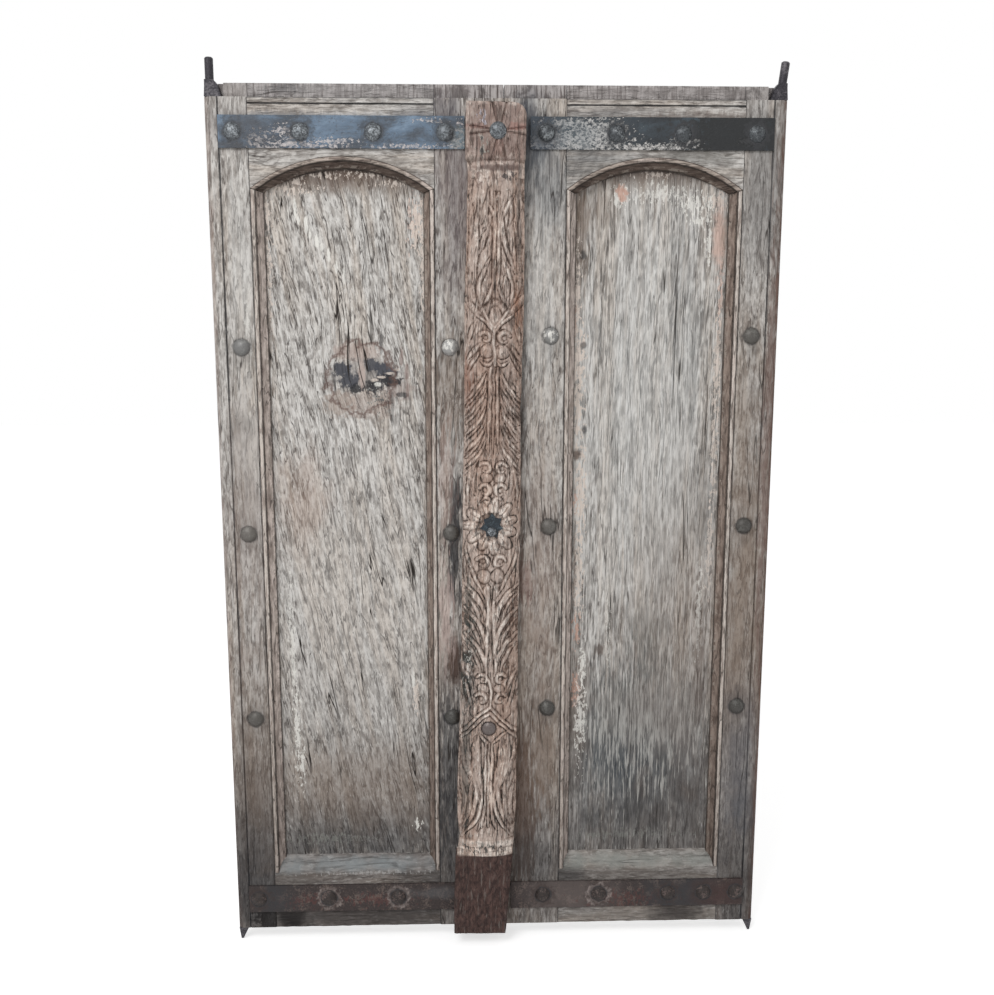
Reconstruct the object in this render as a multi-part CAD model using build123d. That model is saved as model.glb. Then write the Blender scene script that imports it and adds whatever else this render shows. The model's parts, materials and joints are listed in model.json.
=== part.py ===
from build123d import *
import os
from math import atan2, cos, degrees, hypot, pi, sin, sqrt
from types import SimpleNamespace

# A pair of small timber door leaves hung on iron pivots, closed by a carved meeting strip.
# X runs from the left pivot axis to the right one, Y runs into the building and Z runs up.
# The origin is on the left pivot axis, level with the foot of the leaves.

# The pair and its leaves.
pair_width = 760.0
left_leaf_width = 387.0
meeting_gap = 1.2
shoulder_height = 1165.0
leaf_thickness = 38.0

# The tongue along the top, set back from the face, that runs up behind the lintel.
tongue_height = 18.0
tongue_setback = 8.0

# Where the pivot axis lies, from the outer edge and from the face.
pivot_inset = 8.0
pivot_depth = 8.0

# Stiles and rails.
outer_stile_width = 56.0
left_inner_stile_width = 91.0
right_inner_stile_width = 81.8
bottom_rail_height = 106.0
sill_rise = 19.0
edge_round = 9.5
edge_band = 18.0
scribed_line = 1.6
top_line_drop = 8.0
tenon_thickness = 12.0
tenon_length = 40.0
top_tenon_height = 66.0
bottom_tenon_height = 58.0
joint_clearance = 0.2

# The arched head of each opening, measured down from the shoulder, and the sunk panel.
arch_drop = 114.0
arch_rise = 41.0
panel_recess = 18.0
panel_thickness = 12.0
panel_tongue = 7.0

# The planted mouldings round each panel.
moulding_width = 15.0
bead_width = 6.5
bead_proud = 1.2
quirk_depth = 2.4
fillet_height = 2.5
cove_bulge = (0.36, 0.62)
bead_rounding = 0.3
arch_moulding_width = 16.0
mitre_drop = 4.0
mitre_gap = 0.8

# Iron straps.
strap_width = 41.0
strap_thickness = 3.0
top_strap_drop = 43.5
bottom_strap_height = 47.0
strap_end_gap = 3.0

# Forged studs, with square shanks clenched over at the back.
stud_head = 22.0
stud_rise = 6.0
shank = 5.5
hole_clearance = 0.15
clench_length = 11.0
clench_thickness = 2.2

# The row of studs in each strap: how far the first lies from the pivot axis and the last from the
# meeting edge, and what share of the way from first to last each of the others lies.
left_top_row = (28.0, 76.0, (0.318, 0.662))
left_bottom_row = (24.6, 152.0, (0.501,))
right_top_row = (32.7, 54.8, (0.352, 0.669))
right_bottom_row = (20.3, 58.1, (0.1675, 0.3504, 0.7095))

# The studs in the stiles, from the outer and the meeting edge.
outer_stud_inset = 37.0
left_inner_stud_inset = 71.5
right_inner_stud_inset = 62.3
left_ledge_heights = (322.0, 590.0, 845.0)
right_ledge_heights = (334.0, 598.0, 860.0)

# Ledges across the back, one behind each row of stile studs.
ledge_width = 52.0
ledge_thickness = 18.0
ledge_end_gap = 12.0
ledge_chamfer = 6.0

# Iron pivots.
pin_diameter = 11.0
pin_length = 32.0
pin_chamfer = 1.5
pin_root = 6.0
shoe_height = 17.0
shoe_width = 22.0
shoe_depth = 15.0
shoe_margin = 1.5
shoe_shelf = 5.0
shoe_slope = 2.0
shoe_neck = 4.0
notch_margin = 2.0
tang_width = 8.0
tang_length = 52.0
right_pin_lean = 7.0
point_length = 20.0
point_width = 14.0
point_depth = 12.0
point_tip = 3.0

# The carved strip. Its axis leans from near the meeting edge at the head to further in at the foot.
strip_drop = 8.0
strip_width = 80.0
strip_head_inset = 7.5
strip_foot_inset = 25.0
strip_crown = 30.0
strip_side = 11.0
relief_depth = 5.0
back_relief = 0.5
head_length = 73.0
head_depth = 27.0
head_width = 78.0
head_shift = -2.5
head_corner = 18.0
head_chamfer = 2.5
head_petals = 8
petal_cuts = ((32.0, 5.0), (37.0, 9.0))
collar_width = 17.0
foot_length = 122.0
foot_depth = 28.0
foot_splay = 4.0
foot_taper = 10.0
foot_chamfer = 2.0
lower_collar = 12.0
rosette_height = 604.5
rosette_radius = 36.0
rosette_seat = 20.0
rosette_petals = 11
petal_width = 13.0
plate_thickness = 1.5
plate_radius = 18.0
lower_nail_height = 314.0
centre_nail_drop = 8.5
head_nail_drop = 36.0
centre_nail_head = 14.0

# Where the carved parts lie along the strip, from its foot.
lower_bud_head = 300.0
lower_garland = (344.0, 311.0)
rising_fronds_foot = 396.0
falling_fronds_foot = 694.0
falling_fronds_head = 820.0
upper_garland = (862.0, 905.0)
upper_bud_foot = 900.0
scallops = (-28.0, -9.5, 9.5, 28.0)
scallop_radius = 9.0

# Pairs of curls: from the axis, along the strip, and the radius.
curl_places = (
    (13.5, 360.0, 8.5), (12.0, 388.0, 8.0), (10.0, 532.0, 9.0), (11.5, 554.0, 8.5),
    (10.5, 653.0, 9.0), (10.5, 684.0, 8.0), (10.5, 834.0, 8.0), (11.5, 855.0, 8.0),
)

# Worked out from the sizes above.
right_leaf_width = pair_width - meeting_gap - left_leaf_width
pivot_spacing = pair_width - 2 * pivot_inset
face = -pivot_depth
back = face + leaf_thickness
leaf_top = shoulder_height + tongue_height
arch_spring = shoulder_height - arch_drop
arch_crown = arch_spring + arch_rise
arch_inner_spring = arch_spring - mitre_drop
top_strap_height = shoulder_height - top_strap_drop
panel_face = face + panel_recess
panel_back = panel_face + panel_thickness
sill_face = bottom_rail_height - sill_rise
strip_length = shoulder_height - strip_drop
strip_head_x = left_leaf_width - pivot_inset - strip_head_inset
strip_foot_x = left_leaf_width - pivot_inset - strip_foot_inset
strip_lean = degrees(atan2(strip_head_x - strip_foot_x, strip_length))
centre_nail_height = rosette_height - centre_nail_drop
head_nail_height = strip_length - head_nail_drop
strip_nail_heights = (lower_nail_height, centre_nail_height, head_nail_height)
carving_foot = foot_length + 2 * lower_collar
carving_head = strip_length - head_length - collar_width - 5


def box(x, y, z):
    """A block given by its lowest and highest X, Y and Z."""
    size = (x[1] - x[0], y[1] - y[0], z[1] - z[0])
    middle = ((x[0] + x[1]) / 2, (y[0] + y[1]) / 2, (z[0] + z[1]) / 2)
    return Pos(*middle) * Box(*size)


def upright(sketch, near, far):
    """Extrude an outline drawn in X and Z from one depth to another."""
    return extrude(Pos(0, near, 0) * (Plane.XZ * sketch), amount=-(far - near))


def polygon(*points):
    return make_face(Polyline(*points, close=True))


def under_arc(x0, x1, low, spring, crown):
    """An upright outline with a flat foot and an arched head."""
    middle = ((x0 + x1) / 2, crown)
    outline = Polyline((x0, spring), (x0, low), (x1, low), (x1, spring))
    return make_face(outline + ThreePointArc((x1, spring), middle, (x0, spring)))


def row(edge, first, last, shares):
    """Places along a strap, from the pivot axis, for a row of studs."""
    end = edge - last
    return [first, *(first + share * (end - first) for share in shares), end]


def leaf_spec(side, width, inner_stile_width, top_row, bottom_row, inner_inset, heights):
    """Gather what differs between the two leaves. X is measured inwards from the pivot axis."""
    edge = width - pivot_inset
    x0 = outer_stile_width - pivot_inset
    x1 = edge - inner_stile_width
    half = (x1 - x0) / 2
    radius = (half**2 + arch_rise**2) / (2 * arch_rise)
    return SimpleNamespace(
        side=side, edge=edge, x0=x0, x1=x1, middle=(x0 + x1) / 2,
        radius=radius, centre=arch_crown - radius, heights=heights,
        top_studs=[(x, top_strap_height) for x in row(edge, *top_row)],
        bottom_studs=[(x, bottom_strap_height) for x in row(edge, *bottom_row)],
        outer_studs=[(outer_stud_inset - pivot_inset, z) for z in heights],
        inner_studs=[(edge - inner_inset, z) for z in heights],
        pin_lean=right_pin_lean if side == "right" else 0.0,
    )


def strip_edge(side, z):
    """How far the strip's edge lies from a leaf's pivot axis at a given height."""
    axis = strip_foot_x + (strip_head_x - strip_foot_x) * z / strip_length
    low = max(0.0, 1 - z / foot_length)
    if side == "left":
        return axis - strip_width / 2 - foot_splay * low
    return pivot_spacing - axis - strip_width / 2 + foot_taper * low


def in_place(leaf, shape):
    """Leaves are drawn as the left one, and the right one is turned over about the middle."""
    if leaf.side == "left":
        return shape
    return mirror(shape, about=Plane.YZ.offset(pivot_spacing / 2))


def arch_z(leaf, x, grow=0.0):
    """The height of the arch over a given X, on a circle grown by some margin."""
    return leaf.centre + sqrt((leaf.radius + grow)**2 - (x - leaf.middle)**2)


def panel_outline(leaf, grow):
    """The panel's outline, grown into the grooves by some margin."""
    x0 = leaf.x0 - grow
    x1 = leaf.x1 + grow
    crown = arch_crown + grow
    return under_arc(x0, x1, bottom_rail_height - grow, arch_z(leaf, x0, grow), crown)


def panel_groove(leaf):
    slack = joint_clearance
    outline = panel_outline(leaf, panel_tongue + slack)
    return upright(outline, panel_face - slack, panel_back + slack)


def shank_holes(leaf):
    """Square holes for every nail that passes through the leaf."""
    places = leaf.top_studs + leaf.bottom_studs + leaf.outer_studs + leaf.inner_studs
    reach = (shank + 2 * hole_clearance) / 2
    depth = (face - strap_thickness, back + ledge_thickness)
    holes = [box((x - reach, x + reach), depth, (z - reach, z + reach)) for x, z in places]
    if leaf.side == "left":
        holes += [at_strip(strip_shank(height, hole_clearance)) for height in strip_nail_heights]
    return holes


def tenons(leaf, low, high, slack=0.0):
    """The two tenons of a rail, or with slack the mortises that take them."""
    middle = (face + back) / 2
    thick = (middle - tenon_thickness / 2 - slack, middle + tenon_thickness / 2 + slack)
    ends = (leaf.x0 - tenon_length - slack, leaf.x0), (leaf.x1, leaf.x1 + tenon_length + slack)
    return [box(end, thick, (low - slack, high + slack)) for end in ends]


def top_tenon_span():
    middle = (arch_spring + shoulder_height) / 2
    return middle - top_tenon_height / 2, middle + top_tenon_height / 2


def bottom_tenon_span():
    middle = sill_face / 2
    return middle - bottom_tenon_height / 2, middle + bottom_tenon_height / 2


def top_rebate(x0, x1):
    """What is cut from the face of the leaf to leave the tongue."""
    return box((x0, x1), (face - 1, face + tongue_setback), (shoulder_height, leaf_top + 1))


def outer_stile(leaf):
    outer = -pivot_inset
    line = outer + edge_band
    half = scribed_line / 2
    corner = 1 - cos(pi / 4)
    around = ThreePointArc(
        (outer + edge_round, face),
        (outer + edge_round * corner, face + edge_round * corner),
        (outer, face + edge_round),
    )
    plan = around + Polyline(
        (outer, face + edge_round), (outer, back), (leaf.x0, back), (leaf.x0, face),
        (line + half, face), (line, face + scribed_line), (line - half, face),
        (outer + edge_round, face),
    )
    stile = extrude(make_face(plan), amount=leaf_top)
    stile -= top_rebate(outer - 1, leaf.x0 + 1)
    stile -= shoe_notch()
    stile -= tenons(leaf, *top_tenon_span(), joint_clearance)
    stile -= tenons(leaf, *bottom_tenon_span(), joint_clearance)
    stile -= [panel_groove(leaf), top_tang(joint_clearance), bottom_tang(joint_clearance)]
    return stile - shank_holes(leaf)


def inner_stile(leaf):
    stile = box((leaf.x1, leaf.edge), (face, back), (0, leaf_top))
    stile -= top_rebate(leaf.x1 - 1, leaf.edge + 1)
    stile -= tenons(leaf, *top_tenon_span(), joint_clearance)
    stile -= tenons(leaf, *bottom_tenon_span(), joint_clearance)
    stile -= panel_groove(leaf)
    return stile - shank_holes(leaf)


def top_rail(leaf):
    top = ThreePointArc((leaf.x1, arch_spring), (leaf.middle, arch_crown), (leaf.x0, arch_spring))
    sides = Polyline((leaf.x0, arch_spring), (leaf.x0, leaf_top), (leaf.x1, leaf_top),
                     (leaf.x1, arch_spring))
    rail = upright(make_face(top + sides), face, back)
    rail -= top_rebate(leaf.x0 - 1, leaf.x1 + 1)
    line = shoulder_height - top_line_drop
    half = scribed_line / 2
    groove = polygon((face, line - half), (face + scribed_line, line), (face, line + half))
    rail -= Pos(leaf.x0, 0, 0) * extrude(Plane.YZ * groove, amount=leaf.x1 - leaf.x0)
    rail += tenons(leaf, *top_tenon_span())
    return rail - panel_groove(leaf) - shank_holes(leaf)


def bottom_rail(leaf):
    end = polygon((face, 0), (back, 0), (back, bottom_rail_height),
                  (panel_face, bottom_rail_height), (face, sill_face))
    rail = Pos(leaf.x0, 0, 0) * extrude(Plane.YZ * end, amount=leaf.x1 - leaf.x0)
    rail += tenons(leaf, *bottom_tenon_span())
    return rail - panel_groove(leaf) - shank_holes(leaf)


def panel(leaf):
    return upright(panel_outline(leaf, panel_tongue), panel_face, panel_back)


def moulding_section():
    """Bead, quirk and cove, drawn across the moulding from the frame towards the panel."""
    depth = panel_recess
    foot = (moulding_width, depth - fillet_height)
    cove = ThreePointArc(
        (bead_width, quirk_depth),
        (bead_width + (foot[0] - bead_width) * cove_bulge[0],
         quirk_depth + (foot[1] - quirk_depth) * cove_bulge[1]),
        foot,
    )
    bead = ThreePointArc((0, bead_proud / 2), (bead_width / 2, -bead_proud),
                         (bead_width, bead_proud / 2))
    rest = [Line((bead_width, bead_proud / 2), (bead_width, quirk_depth)),
            Polyline(foot, (moulding_width, depth), (0, depth), (0, bead_proud / 2))]
    return make_face(bead + cove + rest)


def side_moulding(leaf, at_outer):
    """One upright moulding, coped to the sill below and mitred to the arch above."""
    bar = extrude(moulding_section(), amount=arch_spring - sill_face)
    if at_outer:
        bar = Pos(leaf.x0, face, sill_face) * bar
        start, inwards = leaf.x0, moulding_width
    else:
        bar = Pos(leaf.x1, face, sill_face) * mirror(bar, about=Plane.YZ)
        start, inwards = leaf.x1, -moulding_width
    slope = sill_rise / panel_recess
    below = polygon((face - 5, sill_face - 5 * slope), (face - 5, sill_face - 40),
                    (panel_face, sill_face - 40), (panel_face, bottom_rail_height))
    bar -= Pos(start - moulding_width, 0, 0) * extrude(Plane.YZ * below, amount=2 * moulding_width)
    drop = (arch_spring - arch_inner_spring) / inwards
    far = start + 2 * inwards
    near = start - inwards
    above = polygon((near, arch_spring + drop * inwards - mitre_gap),
                    (far, arch_spring - 2 * drop * inwards - mitre_gap),
                    (far, arch_crown + 20), (near, arch_crown + 20))
    return bar - upright(above, face - 10, panel_back)


def arch_band(leaf, width, crown_width):
    """The outline between the arch and a lower arc, cut on the mitre at both ends."""
    share = width / moulding_width
    spring = arch_spring - share * (arch_spring - arch_inner_spring)
    inner = ((leaf.x0 + width, spring), (leaf.middle, arch_crown - crown_width),
             (leaf.x1 - width, spring))
    outer = ((leaf.x1, arch_spring), (leaf.middle, arch_crown), (leaf.x0, arch_spring))
    ends = [Line(inner[2], outer[0]), Line(outer[2], inner[0])]
    return make_face(ThreePointArc(*inner) + ThreePointArc(*outer) + ends)


def arch_moulding(leaf):
    """The moulding under the arch: a rounded bead, and a slope down to the panel."""
    bead_outline = arch_band(leaf, bead_width, bead_width)
    whole = arch_band(leaf, moulding_width, arch_moulding_width)
    front = face - bead_proud
    step = face + quirk_depth
    foot = panel_face - fillet_height
    bead = upright(bead_outline, front, step)
    edges = bead.edges().filter_by(GeomType.CIRCLE).group_by(Axis.Y)[0]
    bead = chamfer(edges, bead_rounding * bead_width)
    slope = loft([Plane.XZ.offset(-step) * bead_outline, Plane.XZ.offset(-foot) * whole], ruled=True)
    return bead + slope + upright(whole, foot, panel_face)


def dome(diameter, rise):
    """A forged nail head, rising towards -Y from a flat seat: a cap cut from a ball."""
    radius = diameter / 2
    ball = (rise**2 + radius**2) / (2 * rise)
    return (Pos(0, ball - rise, 0) * Sphere(ball)) & box((-ball, ball), (-ball, 0), (-ball, ball))


def stud(x, z, seat, clench):
    """A headed nail, seated on the face and turned over at the back."""
    half = shank / 2
    nail = Pos(x, seat, z) * dome(stud_head, stud_rise)
    nail += box((x - half, x + half), (seat, clench + clench_thickness), (z - half, z + half))
    tip = (clench, clench + clench_thickness)
    return nail + box((x - half, x + half), tip, (z - clench_length, z + half))


def studs(places, seat, clench):
    """A row of studs, as separate solids in one group."""
    return Compound(children=[stud(x, z, seat, clench) for x, z in places])


def strap(leaf, height, places):
    start = edge_band - pivot_inset
    end = strip_edge(leaf.side, height) - strap_end_gap
    half = strap_width / 2
    bar = box((start, end), (face - strap_thickness, face), (height - half, height + half))
    reach = shank / 2 + hole_clearance
    depth = (face - strap_thickness, face)
    return bar - [box((x - reach, x + reach), depth, (z - reach, z + reach)) for x, z in places]


def shoe_notch():
    """The corner cut out of the tongue so that the pivot's shoe sits on the shoulder."""
    slack = joint_clearance
    x = (-pivot_inset - 1, shoe_width - pivot_inset + notch_margin + slack)
    return box(x, (face - 1, shoe_depth / 2 + slack), (shoulder_height, leaf_top + 1))


def top_tang(slack=0.0):
    half = tang_width / 2 + slack
    return box((-half, half), (-half, half), (shoulder_height - tang_length - slack, shoulder_height))


def bottom_tang(slack=0.0):
    half = tang_width / 2 + slack
    return box((-half, half), (-half, half), (0, tang_length + slack))


def top_pivot(leaf):
    """A round pin on a flared shoe, with a tang driven down into the stile."""
    half = pin_diameter / 2
    low = shoulder_height
    high = shoulder_height + shoe_height
    outer = shoe_margin - pivot_inset
    outline = polygon((outer, low), (outer + shoe_width, low), (half + shoe_shelf, high - shoe_slope),
                      (half, high + shoe_neck), (-half, high + shoe_neck), (-half, high - shoe_slope))
    shoe = upright(outline, -shoe_depth / 2, shoe_depth / 2)
    pin = Cylinder(half, pin_length, align=(Align.CENTER, Align.CENTER, Align.MIN))
    rim = pin.edges().filter_by(GeomType.CIRCLE).sort_by(Axis.Z)[-1]
    pin = chamfer(rim, pin_chamfer)
    root = Cylinder(half, pin_root, align=(Align.CENTER, Align.CENTER, Align.MAX))
    pin = Pos(0, 0, high) * Rot(0, -leaf.pin_lean, 0) * (pin + root)
    return shoe + pin + top_tang()


def bottom_pivot():
    """A forged point, its outer side upright, with a tang up into the stile."""
    half = point_width / 2
    near = point_depth / 2
    tip = point_tip / 2
    front = polygon((-half, 0), (tip - half, -point_length), (3 * tip - half, -point_length), (half, 0))
    side = polygon((-near, 0), (-tip, -point_length), (tip, -point_length), (near, 0))
    point = upright(front, -near, near) & extrude(Plane.YZ * side, amount=half, both=True)
    return point + bottom_tang()


def ledge(leaf, height):
    half = ledge_width / 2
    start = ledge_end_gap - pivot_inset
    end = leaf.edge - ledge_end_gap
    bar = box((start, end), (back, back + ledge_thickness), (height - half, height + half))
    rear = bar.faces().sort_by(Axis.Y)[-1]
    bar = chamfer(rear.edges(), ledge_chamfer)
    reach = shank / 2 + hole_clearance
    depth = (back, back + ledge_thickness)
    places = leaf.outer_studs + leaf.inner_studs
    holes = [box((x - reach, x + reach), depth, (z - reach, z + reach)) for x, z in places]
    if leaf.side == "left":
        holes += [at_strip(strip_shank(z, hole_clearance)) for z in strip_nail_heights]
    return bar - holes


def at_strip(shape):
    """Set a shape drawn upright on the strip's own axis onto the leaning strip."""
    return Pos(strip_foot_x, face, 0) * Rot(0, strip_lean, 0) * shape


def crowned(width, side, crown, low, high):
    """A bar with upright sides and an arched front, standing towards -Y."""
    half = width / 2
    front = ThreePointArc((half, -side), (0, -crown), (-half, -side))
    plan = Polyline((-half, -side), (-half, 0), (half, 0), (half, -side))
    return Pos(0, 0, low) * extrude(make_face(plan + front), amount=high - low)


def blade(start, end, width, bow):
    """A leaf or rib between two points, bulging sideways by bow, pointed at both ends."""
    along = (end[0] - start[0], end[1] - start[1])
    length = hypot(*along)
    across = (-along[1] / length, along[0] / length)
    middle = ((start[0] + end[0]) / 2, (start[1] + end[1]) / 2)

    def side(first, last, amount):
        if abs(amount) < 0.05:
            return Line(first, last)
        bulge = (middle[0] + across[0] * amount, middle[1] + across[1] * amount)
        return ThreePointArc(first, bulge, last)

    return make_face(side(start, end, bow + width / 2) + side(end, start, bow - width / 2))


def bar_between(start, end, width):
    """A straight ribbon."""
    along = (end[0] - start[0], end[1] - start[1])
    middle = ((start[0] + end[0]) / 2, (start[1] + end[1]) / 2)
    turn = degrees(atan2(along[1], along[0]))
    return Pos(*middle) * Rot(0, 0, turn) * Rectangle(hypot(*along), width)


def both_sides(shapes):
    return shapes + [mirror(shape, about=Plane.YZ) for shape in shapes]


def curls(across, height, radius):
    """A pair of volutes, sunk in the middle."""
    ring = Pos(across, height) * (Circle(radius) - Circle(0.45 * radius))
    return both_sides([ring])


def upper_bud():
    """Long leaves closing round a double midrib, under the head."""
    low = upper_bud_foot
    high = carving_head - 8
    return both_sides([
        bar_between((2.6, low + 25), (2.6, high - 8), 3.2),
        blade((6, high - 4), (7, low + 48), 8, 6),
        blade((31, high), (13, low + 62), 9, -1),
        blade((33, high - 38), (28, low + 12), 7, 3),
        blade((7, low + 58), (8, low - 4), 11, 9),
        blade((15, low + 66), (30, low + 16), 5, 5),
    ])


def garland(heights, reach):
    """A ribbon that falls or rises from both edges to a point on the axis."""
    apex, ends = heights
    return both_sides([bar_between((0, apex), (reach, ends), 6.0)])


def falling_fronds():
    """Ribs that sweep down and outwards from a double stem."""
    low = falling_fronds_foot
    high = falling_fronds_head
    pitch = 25.0
    ribs = [bar_between((2.8, low + 8), (2.8, high), 3.2)]
    for step in range(4):
        root = high - 6 - pitch * step
        ribs.append(blade((7, root), (36, root - 52), 6, 5))
    return both_sides(ribs)


def rising_fronds():
    """Broad S-ribbed leaves that open upwards from a stem."""
    low = rising_fronds_foot
    pitch = 31.0
    ribs = [bar_between((2.8, low - 4), (2.8, low + 122), 3.2)]
    for step in range(4):
        root = low + pitch * step
        if step < 3:
            ribs.append(blade((7, root), (37, root + 64), 5, 9))
            ribs.append(blade((12, root + 20), (37, root + 50), 3, -2))
        else:
            ribs.append(blade((7, root), (35, root + 42), 5, 7))
    return both_sides(ribs)


def lower_bud():
    """The same leaves again, flaring to the foot of the carving."""
    low = carving_foot + 4
    high = lower_bud_head
    return both_sides([
        bar_between((2.8, low + 6), (2.8, high - 4), 3.2),
        blade((7, high - 2), (9, low + 62), 8, -6),
        blade((9, low + 78), (34, low), 6, -10),
        blade((22, high), (24, low + 70), 8, -3),
        blade((36, high - 6), (36, low + 60), 6, 2),
        blade((30, low + 74), (38, low + 8), 5, 4),
        blade((8, low + 44), (16, low), 4, 2),
    ])


def rosette():
    """A ring of petals round the flat seat of the iron plate."""
    petals = []
    for step in range(rosette_petals):
        turn = 360.0 / rosette_petals * (step + 0.5)
        petal = blade((rosette_seat - 3, 0), (rosette_radius, 0), petal_width, 0)
        petals.append(Pos(0, rosette_height) * Rot(0, 0, turn) * petal)
    return petals


def carving():
    """Every raised outline of the shaft, drawn on the strip's own axis."""
    half = strip_width / 2
    shapes = upper_bud() + falling_fronds() + rising_fronds() + lower_bud() + rosette()
    shapes += garland(upper_garland, half - 5) + garland(lower_garland, half - 3)
    for place in curl_places:
        shapes += curls(*place)
    shapes += [Pos(x, carving_head) * Circle(scallop_radius) for x in scallops]
    return Sketch() + shapes


def strip_head():
    """The square head, one corner rounded, with petals cut round its nail."""
    low = strip_length - head_length
    outline = Pos(head_shift, (low + strip_length) / 2) * Rectangle(head_width, head_length)
    corner = outline.vertices().sort_by(Axis.X)[-2:].sort_by(Axis.Y)[-1]
    block = upright(fillet(corner, head_corner), -head_depth, 0)
    block = chamfer(block.faces().sort_by(Axis.Y)[0].edges(), head_chamfer)
    cuts = []
    for step in range(head_petals):
        reach, width = petal_cuts[step % 2]
        groove = blade((stud_head / 2 - 2, 0), (reach, 0), width, 0)
        cuts.append(Pos(0, head_nail_height) * Rot(0, 0, 360.0 / head_petals * step) * groove)
    return block - upright(Sketch() + cuts, -head_depth - 1, -head_depth + 0.5 * relief_depth)


def strip_foot():
    """The plain block at the foot, tapered a little towards its end."""
    half = strip_width / 2
    outline = polygon((-half, foot_length), (-half - foot_splay, 0),
                      (half - foot_taper, 0), (half, foot_length))
    block = upright(outline, -foot_depth, 0)
    front = block.faces().sort_by(Axis.Y)[0]
    return chamfer(front.edges(), foot_chamfer)


def meeting_strip():
    """The carved strip, nailed to the left leaf and lapping over the right one."""
    core = crowned(strip_width, strip_side, strip_crown - relief_depth, foot_length,
                   strip_length - head_length)
    raised = crowned(strip_width, strip_side + 0.5 * relief_depth, strip_crown, carving_foot,
                     carving_head + 1)
    strip = core + (upright(carving(), -strip_crown - 1, -strip_side) & raised)
    collar = crowned(strip_width - 4, strip_side, head_depth, carving_head,
                     carving_head + collar_width)
    strip += [collar, strip_head(), strip_foot()]
    for step in range(2):
        low = foot_length + lower_collar * step
        strip += crowned(strip_width + 3 - 3 * step, strip_side + 4, strip_crown - 1,
                         low + 1, low + lower_collar - 1)
    seat = upright(Pos(0, rosette_height) * Circle(rosette_seat), -strip_crown - 5, -plate_seat())
    strip -= seat
    lower_nail = Pos(0, lower_nail_height) * Circle(stud_head / 2 + 1)
    strip -= upright(lower_nail, -strip_crown - 5, -nail_seat(lower_nail_height))
    strip -= [strip_shank(height, hole_clearance) for height in strip_nail_heights]
    strip = at_strip(strip)
    beyond = left_leaf_width - pivot_inset
    lap = box((beyond, beyond + strip_width), (face - back_relief, face + 5), (-20, leaf_top + 20))
    return strip - lap


def plate_seat():
    return strip_crown - relief_depth - 3


def nail_seat(height):
    """How far a nail's head seat stands off the face of the leaf."""
    if height == head_nail_height:
        return head_depth
    if height == centre_nail_height:
        return plate_seat() + plate_thickness
    return strip_crown - relief_depth - 1


def strip_shank(height, slack=0.0):
    half = shank / 2 + slack
    deep = leaf_thickness + ledge_thickness + 2 if slack else leaf_thickness - 4
    return box((-half, half), (-nail_seat(height), deep), (height - half, height + half))


def strip_nail(height):
    wide = centre_nail_head if height == centre_nail_height else stud_head
    head = Pos(0, -nail_seat(height), height) * dome(wide, stud_rise)
    return at_strip(head + strip_shank(height))


def rosette_plate():
    """A torn iron washer with ragged points, lying under the middle nail."""
    points = []
    reaches = (1.0, 0.68, 0.92, 0.6, 0.85, 0.64, 1.0, 0.7, 0.88, 0.62, 0.94, 0.58, 0.8, 0.66)
    for step, reach in enumerate(reaches):
        turn = 2 * pi * step / len(reaches)
        points.append((plate_radius * reach * sin(turn), plate_radius * reach * cos(turn)))
    outline = Pos(0, rosette_height) * polygon(*points)
    plate = upright(outline, -plate_seat() - plate_thickness, -plate_seat())
    reach = shank / 2 + hole_clearance
    span = (centre_nail_height - reach, centre_nail_height + reach)
    hole = box((-reach, reach), (-strip_crown, 0), span)
    return at_strip(plate - hole)


def leaf_pieces(leaf):
    """Every piece of one leaf, by name."""
    strap_face = face - strap_thickness
    rear = back + ledge_thickness
    pieces = {
        "outer_stile": outer_stile(leaf),
        "inner_stile": inner_stile(leaf),
        "top_rail": top_rail(leaf),
        "bottom_rail": bottom_rail(leaf),
        "panel": panel(leaf),
        "arch_moulding": arch_moulding(leaf),
        "outer_side_moulding": side_moulding(leaf, True),
        "inner_side_moulding": side_moulding(leaf, False),
        "top_strap": strap(leaf, top_strap_height, leaf.top_studs),
        "bottom_strap": strap(leaf, bottom_strap_height, leaf.bottom_studs),
        "top_strap_studs": studs(leaf.top_studs, strap_face, back),
        "bottom_strap_studs": studs(leaf.bottom_studs, strap_face, back),
        "outer_stile_studs": studs(leaf.outer_studs, face, rear),
        "inner_stile_studs": studs(leaf.inner_studs, face, rear),
        "top_pivot": top_pivot(leaf),
        "bottom_pivot": bottom_pivot(),
    }
    for name, height in zip(("lower", "middle", "upper"), leaf.heights):
        pieces[name + "_ledge"] = ledge(leaf, height)
    return pieces


left_leaf = leaf_spec("left", left_leaf_width, left_inner_stile_width, left_top_row,
                      left_bottom_row, left_inner_stud_inset, left_ledge_heights)
right_leaf = leaf_spec("right", right_leaf_width, right_inner_stile_width, right_top_row,
                       right_bottom_row, right_inner_stud_inset, right_ledge_heights)

nodes = {}
for leaf in (left_leaf, right_leaf):
    for name, shape in leaf_pieces(leaf).items():
        nodes[leaf.side + "_" + name] = in_place(leaf, shape)
nodes["meeting_strip"] = meeting_strip()
nodes["meeting_strip_nails"] = Compound(children=[strip_nail(z) for z in strip_nail_heights])
nodes["rosette_plate"] = rosette_plate()

os.makedirs("parts", exist_ok=True)
for name, shape in nodes.items():
    export_step(shape, "parts/" + name + ".step")
    print(name, round(shape.volume / 1000.0, 1), "cm3")
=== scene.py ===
# %% [markdown]
# The pair of temple door leaves
#
# Two small timber leaves hang on iron pivots and close behind a carved strip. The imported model
# gives every piece at its real size and place. This lesson dresses it: the timber gets a weathered
# skin, the strip its carving and the iron its paint and rust. Lengths are metres, X runs along the
# door, Y into the building and Z up.

# %% Load the frame
import bpy
import json
import math
import numpy as np
from mathutils import Matrix, Vector

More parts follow.
